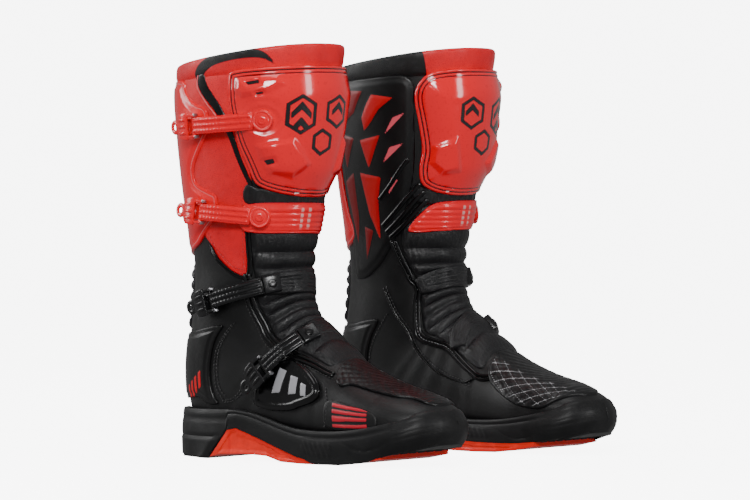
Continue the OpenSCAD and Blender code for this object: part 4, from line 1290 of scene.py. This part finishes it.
def strap(side, k):
    centre, ez, ex, ey, radius, sweep = run(k)
    first = math.degrees(NECK / radius)
    black = k >= 2
    n = 90
    w, h = STRAP_W / 2, STRAP_T
    prof = [(-w, .7), (-w, .25), (-w + .6, 0), (w - .6, 0), (w, .25), (w, .7), (w, h - .7), (w - .25, h - .2), (w - .9,
        h)]
    ridge = []
    for y in (5, 0, -5):
        for s in np.linspace(-1, 1, 7):
            ridge.append((y - 1.7 * s, h + 1.0 * (1 - s * s) ** .6, (1 - abs(s))))
    prof = [(a, b, 0) for a, b in prof] + ridge + [(-w + .9, h, 0), (-w + .25, h - .2, 0), (-w, h - .7, 0)]
    prof = np.array(prof)
    sections = []
    for i, ang in enumerate(np.linspace(first + .2, sweep - .3, n)):
        p = prof[:, :2].copy()
        arc = (ang - first) / 180 * math.pi * radius
        notch = .35 * (math.sin(arc / 1.9 * math.pi) > .2) * (ang > first + .42 * (sweep - first))
        top = p[:, 1] > h - .05
        p[:, 1] -= notch * top * (prof[:, 2] > 0)
        side_cut = .3 * (math.sin(arc / 1.9 * math.pi) > .2) * (ang > first + .42 * (sweep - first))
        p[:, 0] *= 1 - side_cut / w * (np.abs(p[:, 0]) > w - 1)
        if i in (0, n - 1):
            p = p * [.96, .9]
        local = np.stack([np.zeros(len(p)), p[:, 0], p[:, 1]], 1)
        sections.append(on_run(k, local, ang))
    body = loft(sections)
    a = np.linspace(0, 2 * np.pi, 16, endpoint=False)
    parts = [body]
    for ang, r, half in ((first, STRAP_T / 2 + .35, w - .3), (sweep, 1.8, w + 3.5)):
        ends = [(-half, .8), (-half + .4, 1), (half - .4, 1), (half, .8)]
        secs = [on_run(k, np.stack([r * f * np.cos(a), np.full(16, y), STRAP_T / 2 + r * f * np.sin(a)], 1), ang)
                for y, f in ends]
        parts.append(loft(secs))
    # mask of the ridge crests: it carries a painted highlight in colour and real gloss in roughness
    crest_painted_highlight_and_gloss = np.r_[np.tile(prof[:, 2] - .45, n), np.full(sum(len(p) for p, _ in parts[1:]), -1)]
    ob = solid(f"{STRAP_NAMES[k]}_strap", side, parts, M["strap_black"] if black else M["strap_red"],
               layers={"ridge": crest_painted_highlight_and_gloss}, flat_angle=40)
    own(ob, side, f"{STRAP_NAMES[k]}_strap", (f"{STRAP_NAMES[k]}_strap",))


def rounded_box(x0, x1, y0, y1, z0, z1, r=.6):
    yc, hw = (y0 + y1) / 2, (y1 - y0) / 2
    rows = [(x0, yc, hw - r, z0 + r, z1 - r), (x0 + r * .3, yc, hw - r * .3, z0 + r * .3, z1 - r * .3), (x0 + r, yc,
        hw, z0, z1),
            (x1 - r, yc, hw, z0, z1), (x1 - r * .3, yc, hw - r * .3, z0 + r * .3, z1 - r * .3), (x1, yc, hw - r,
                z0 + r, z1 - r)]
    return bar_loft(rows, 24, 7)


def round_end(side, k):
    body = "foot" if k == 3 else "shaft"
    black = k >= 2
    prof = [(0, -5), (8.6, -5), (10.0, -1), (10.2, 1.2), (9.9, 2.3), (9.2, 2.9), (8.1, 2.9), (7.5, 2.5), (6.6, 2.5),
        (6.2, 2.9),
            (4.9, 3.0), (4.5, 3.0), (0, 3.0)]
    pts, faces = lathe(prof, 60, ribs=30, rib_h=.35, rib_from=6.3)
    if black:
        pts, faces = rounded_box(-8, 8.6, -8.4, 8.4, -5, 2.9, .8)
    disc = solid(f"{STRAP_NAMES[k]}_strap_end", side, [(on_run(k, pts), faces)],
                 M["strap_black"] if black else M["strap_red"], flat_angle=40)
    own(disc, side, body)
    prof = [(0, 2), (4.3, 2), (4.3, 3.6), (4.0, 4.1), (3.2, 4.4), (2.2, 4.4), (1.9, 4.0), (0, 3.9)]
    pts, faces = lathe(prof, 32)
    cap = solid(f"{STRAP_NAMES[k]}_rivet", side, [(on_run(k, pts), faces)],
        M["black_gloss"] if black else M["red_gloss"],
                flat_angle=35)
    own(cap, side, body)


def buckle_base(side, k):
    plate = rounded_box(-3, 21, -7.5, 7.5, -6.2, -3.0, .8)
    cheeks = [rounded_box(11.5, 16.5, y0, y0 + 2, -3.4, 1.6, .5) for y0 in (-7.5, 5.5)]
    return [(on_buckle(k, p), f) for p, f in [plate] + cheeks]


def bases(side):
    red = [p for k in (0, 1) for p in buckle_base(side, k)]
    ob = solid("buckle_bases", side, red, M["red_gloss"], flat_angle=40)
    own(ob, side, "shaft", ("buckle_bases",))
    ob = solid("ankle_buckle_base", side, buckle_base(side, 2), M["strap_black"], flat_angle=40)
    own(ob, side, "shaft")
    ob = solid("instep_buckle_base", side, buckle_base(side, 3), M["strap_black"], flat_angle=40)
    own(ob, side, "foot", ("instep_buckle_base",))
    a = np.linspace(0, 2 * np.pi, 16, endpoint=False)

    def metal(ks):
        parts = []
        for k in ks:
            secs = [np.stack([14 + 1.2 * f * np.cos(a), np.full(16, y), 1.2 * f * np.sin(a)], 1)
                    for y, f in ((-6.6, .8), (-6.3, 1), (6.3, 1), (6.6, .8))]
            pts, faces = loft(secs)
            parts.append((on_buckle(k, pts), faces))
            for y in (-1, 1):
                p, f = rounded_box(-4.6, -1.2, min(y * 8.6, y * 11.6), max(y * 8.6, y * 11.6), -2.4, 2.2, .5)
                parts.append((on_buckle(k, p), f))
            for x in (1, 18.5):
                p, f = lathe([(0, -3.4), (2.8, -3.4), (2.7, -2.7), (2.0, -2.2), (1.0, -2.0), (0, -1.95)], 24, (x, 0))
                parts.append((on_buckle(k, p), f))
        return parts

    own(solid("shaft_metal", side, metal((0, 1, 2)), M["steel"], flat_angle=40), side, "shaft", ("shaft_fasteners",))
    own(solid("foot_metal", side, metal((3,)), M["steel"], flat_angle=40), side, "foot", ("foot_fasteners",))


def lever(side, k):
    black = k >= 2
    rows = [(4.8, 0, 11.6, 3.5, 5.0), (5.0, 0, 12.2, 3.2, 5.3), (5.6, 0, 12.6, 3.1, 5.6), (9, 0, 12.7, 3.1, 6.1),
            (13, 0, 12.6, 3.1, 6.2), (16.5, 0, 12.0, 3.1, 5.9), (18.6, 0, 10.6, 3.1, 5.5), (19.8, 0, 8.6, 3.1, 5.2),
            (21.5, 0, 6.6, 3.1, 5.0), (22.6, 0, 5.4, 3.2, 4.9), (23.4, 0, 4.6, 3.4, 4.8)]
    rows = [rows[0]] + [tuple(np.array(a) + (np.array(b) - np.array(a)) * f) for a, b in zip(rows[:-1], rows[1:])
                        for f in (.34, .67, 1.0)]
    parts = [bar_loft(rows, 40, 6)]
    for y in (-6.2, 0, 6.2):
        rib = [(6.2, y, .4, 4.5, 5.2), (6.8, y, 1.2, 4.5, 6.6), (9, y, 1.6, 4.5, 7.3), (15, y, 1.5, 4.5, 7.2),
               (18, y * .95, 1.1, 4.5, 6.2), (18.8, y * .92, .4, 4.5, 5.3)]
        parts.append(bar_loft(rib, 14, 3))
    for y in (-9.8, 9.8):
        ear = [(-3.2, y, .8, -1.6, 1.6), (-2.9, y, 1.1, -2.2, 2.6), (-2, y, 1.3, -2.8, 3.6), (2, y, 1.3, -3.0, 4.4),
               (6, y, 1.3, -1.6, 5.0), (8.6, y, 1.3, 1.0, 5.3), (9, y, 1.0, 2.0, 5.0)]
        parts.append(bar_loft(ear, 16, 5))
    a = np.linspace(0, 2 * np.pi, 36, endpoint=False)
    b = np.linspace(0, 2 * np.pi, 12, endpoint=False)
    ring = [(26 + (4.7 + 2.3 * math.cos(q)) * np.cos(a), (4.7 + 2.3 * math.cos(q)) * np.sin(a),
        4.1 + 1.15 * math.sin(q) + 0 * a)
            for q in b]
    pts = np.array(ring).transpose(0, 2, 1).reshape(-1, 3)
    m = len(a)
    faces = [(i * m + j, i * m + (j + 1) % m, (i + 1) % 12 * m + (j + 1) % m, (i + 1) % 12 * m + j)
             for i in range(12) for j in range(m)]
    parts.append((pts, faces))
    parts = [(on_buckle(k, p), f) for p, f in parts]
    ob = solid(f"{STRAP_NAMES[k]}_lever", side, parts, M["strap_black"] if black else M["red_gloss"], flat_angle=35)
    own(ob, side, f"{STRAP_NAMES[k]}_lever", (f"{STRAP_NAMES[k]}_lever",))


def footbed(side):
    def slab(lo, hi, t0, t1):
        tg, ug = np.meshgrid(np.linspace(t0, t1, 40), np.linspace(132, 228, 28), indexing="ij")
        b = (tg - t0) / (t1 - t0)
        top, bottom = skin(tg, ug, hi(b)), skin(tg, ug, lo(b))
        n, w = tg.size, tg.shape[1]
        pts = np.concatenate([top.reshape(-1, 3), bottom.reshape(-1, 3)])
        i, j = np.meshgrid(np.arange(tg.shape[0] - 1), np.arange(w - 1), indexing="ij")
        f = np.stack([i * w + j, i * w + j + 1, (i + 1) * w + j + 1, (i + 1) * w + j], -1).reshape(-1, 4)
        loop = [i * w for i in range(tg.shape[0])] + [(tg.shape[0] - 1) * w + j for j in range(1, w)]
        loop += [i * w + w - 1 for i in range(tg.shape[0] - 2, -1, -1)] + list(range(w - 2, 0, -1))
        sides = [(p, q, q + n, p + n) for p, q in zip(loop, loop[1:] + loop[:1])]
        return pts, f.tolist() + (f[:, ::-1] + n).tolist() + [s[::-1] for s in sides]
    pts, faces = slab(lambda b: -10.2 + 1.6 * b, lambda b: -13.2 + .8 * b, 2.3, 8.2)
    ob = solid("footbed", side, [(pts, faces)], M["footbed"], flat_angle=60)
    own(ob, side, "foot", ("footbed",))


for side in ("right", "left"):
    upper(side)
    own(outsole(side), side, "foot", ("outsole",))
    own(tread(side), side, "foot")
    own(sole_insert(side), side, "foot", ("sole_insert",))
    collar(side)
    liner(side)
    footbed(side)
    side_panel(side)
    calf_plate(side)
    collar_stripe(side)
    gap_pad(side)
    shin_plate(side)
    front_band(side)
    calf_guard(side)
    front_bellows(side)
    rear_bellows(side)
    heel_counter(side)
    ankle_guard(side)
    shift_pad(side)
    keepers(side)
    side_patch(side)
    trims(side)
    bases(side)
    for k in range(4):
        strap(side, k)
        round_end(side, k)
        lever(side, k)
    for node, key in (("shank", "shank"), ("insole_board", "board")):
        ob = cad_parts[f"{side}_{node}"]
        ob.data.materials.clear()
        ob.data.materials.append(M[key])


# ---------------------------------------------------------------- the studio

floor_mat = bpy.data.materials.new("studio_white")
floor_mat.use_nodes = True
floor_mat.node_tree.nodes["Principled BSDF"].inputs["Base Color"].default_value = (.86, .86, .86, 1)
floor_mat.node_tree.nodes["Principled BSDF"].inputs["Roughness"].default_value = .7
floor_mat.node_tree.nodes["Principled BSDF"].inputs["Emission Color"].default_value = (1, 1, 1, 1)
floor_mat.node_tree.nodes["Principled BSDF"].inputs["Emission Strength"].default_value = 7.0
sweep = bpy.data.meshes.new("sweep")
profile = [(.4, 0), (30, 0)] + [(30 + 10 * math.sin(a), 10 - 10 * math.cos(a)) for a in np.linspace(.1, math.pi / 2,
    12)] + [(40, 30)]
turn = [(math.cos(a), math.sin(a)) for a in np.linspace(0, math.tau, 96, endpoint=False)]
verts = [(r * c, r * v, z) for r, z in profile for c, v in turn]
quads = [(96 * i + k, 96 * (i + 1) + k, 96 * (i + 1) + (k + 1) % 96,
    96 * i + (k + 1) % 96) for i in range(len(profile) - 1) for k in range(96)]
sweep.from_pydata(verts, [], [tuple(range(96))] + quads)
sweep.polygons.foreach_set("use_smooth", [True] * len(sweep.polygons))
sweep.materials.append(floor_mat)
floor = bpy.data.objects.new("floor", sweep)
bpy.context.scene.collection.objects.link(floor)
floor.visible_glossy = False
floor.visible_diffuse = False

world = bpy.data.worlds.new("studio")
bpy.context.scene.world = world
world.use_nodes = True
world.node_tree.nodes["Background"].inputs[0].default_value = (1, 1, 1, 1)
world.node_tree.nodes["Background"].inputs[1].default_value = .3


def softbox(name, where, target, size, power):
    light = bpy.data.lights.new(name, "AREA")
    light.shape = "RECTANGLE"
    light.size, light.size_y = size
    light.energy = power
    ob = bpy.data.objects.new(name, light)
    ob.location = where
    ob.rotation_euler = (Vector(target) - Vector(where)).to_track_quat("-Z", "Y").to_euler()
    bpy.context.scene.collection.objects.link(ob)
    return ob


softbox("key", (1.5, -2.3, 1.5), (0, 0, .2), (.9, .6), 62)
softbox("fill", (2.6, .6, .9), (0, 0, .2), (.5, 1.5), 24)
softbox("back", (-1.9, -.9, 1.1), (0, 0, .25), (.5, 1.6), 24)
softbox("top", (.1, 0, 2.4), (0, 0, .2), (1.2, 1.2), 14)

camera = bpy.data.cameras.new("camera")
camera.sensor_width = 36
camera.lens = 220.8
camera.shift_x = -.0267
camera.clip_end = 120
camera.dof.use_dof = False
eye = bpy.data.objects.new("camera", camera)
azimuth = math.radians(38.5)
eye.location = (math.sin(azimuth) * 4.4 - .0045, -math.cos(azimuth) * 4.4, .290)
eye.rotation_euler = (Vector((-.0045, 0, .195)) - eye.location).to_track_quat("-Z", "Y").to_euler()
bpy.context.scene.collection.objects.link(eye)
bpy.context.scene.camera = eye
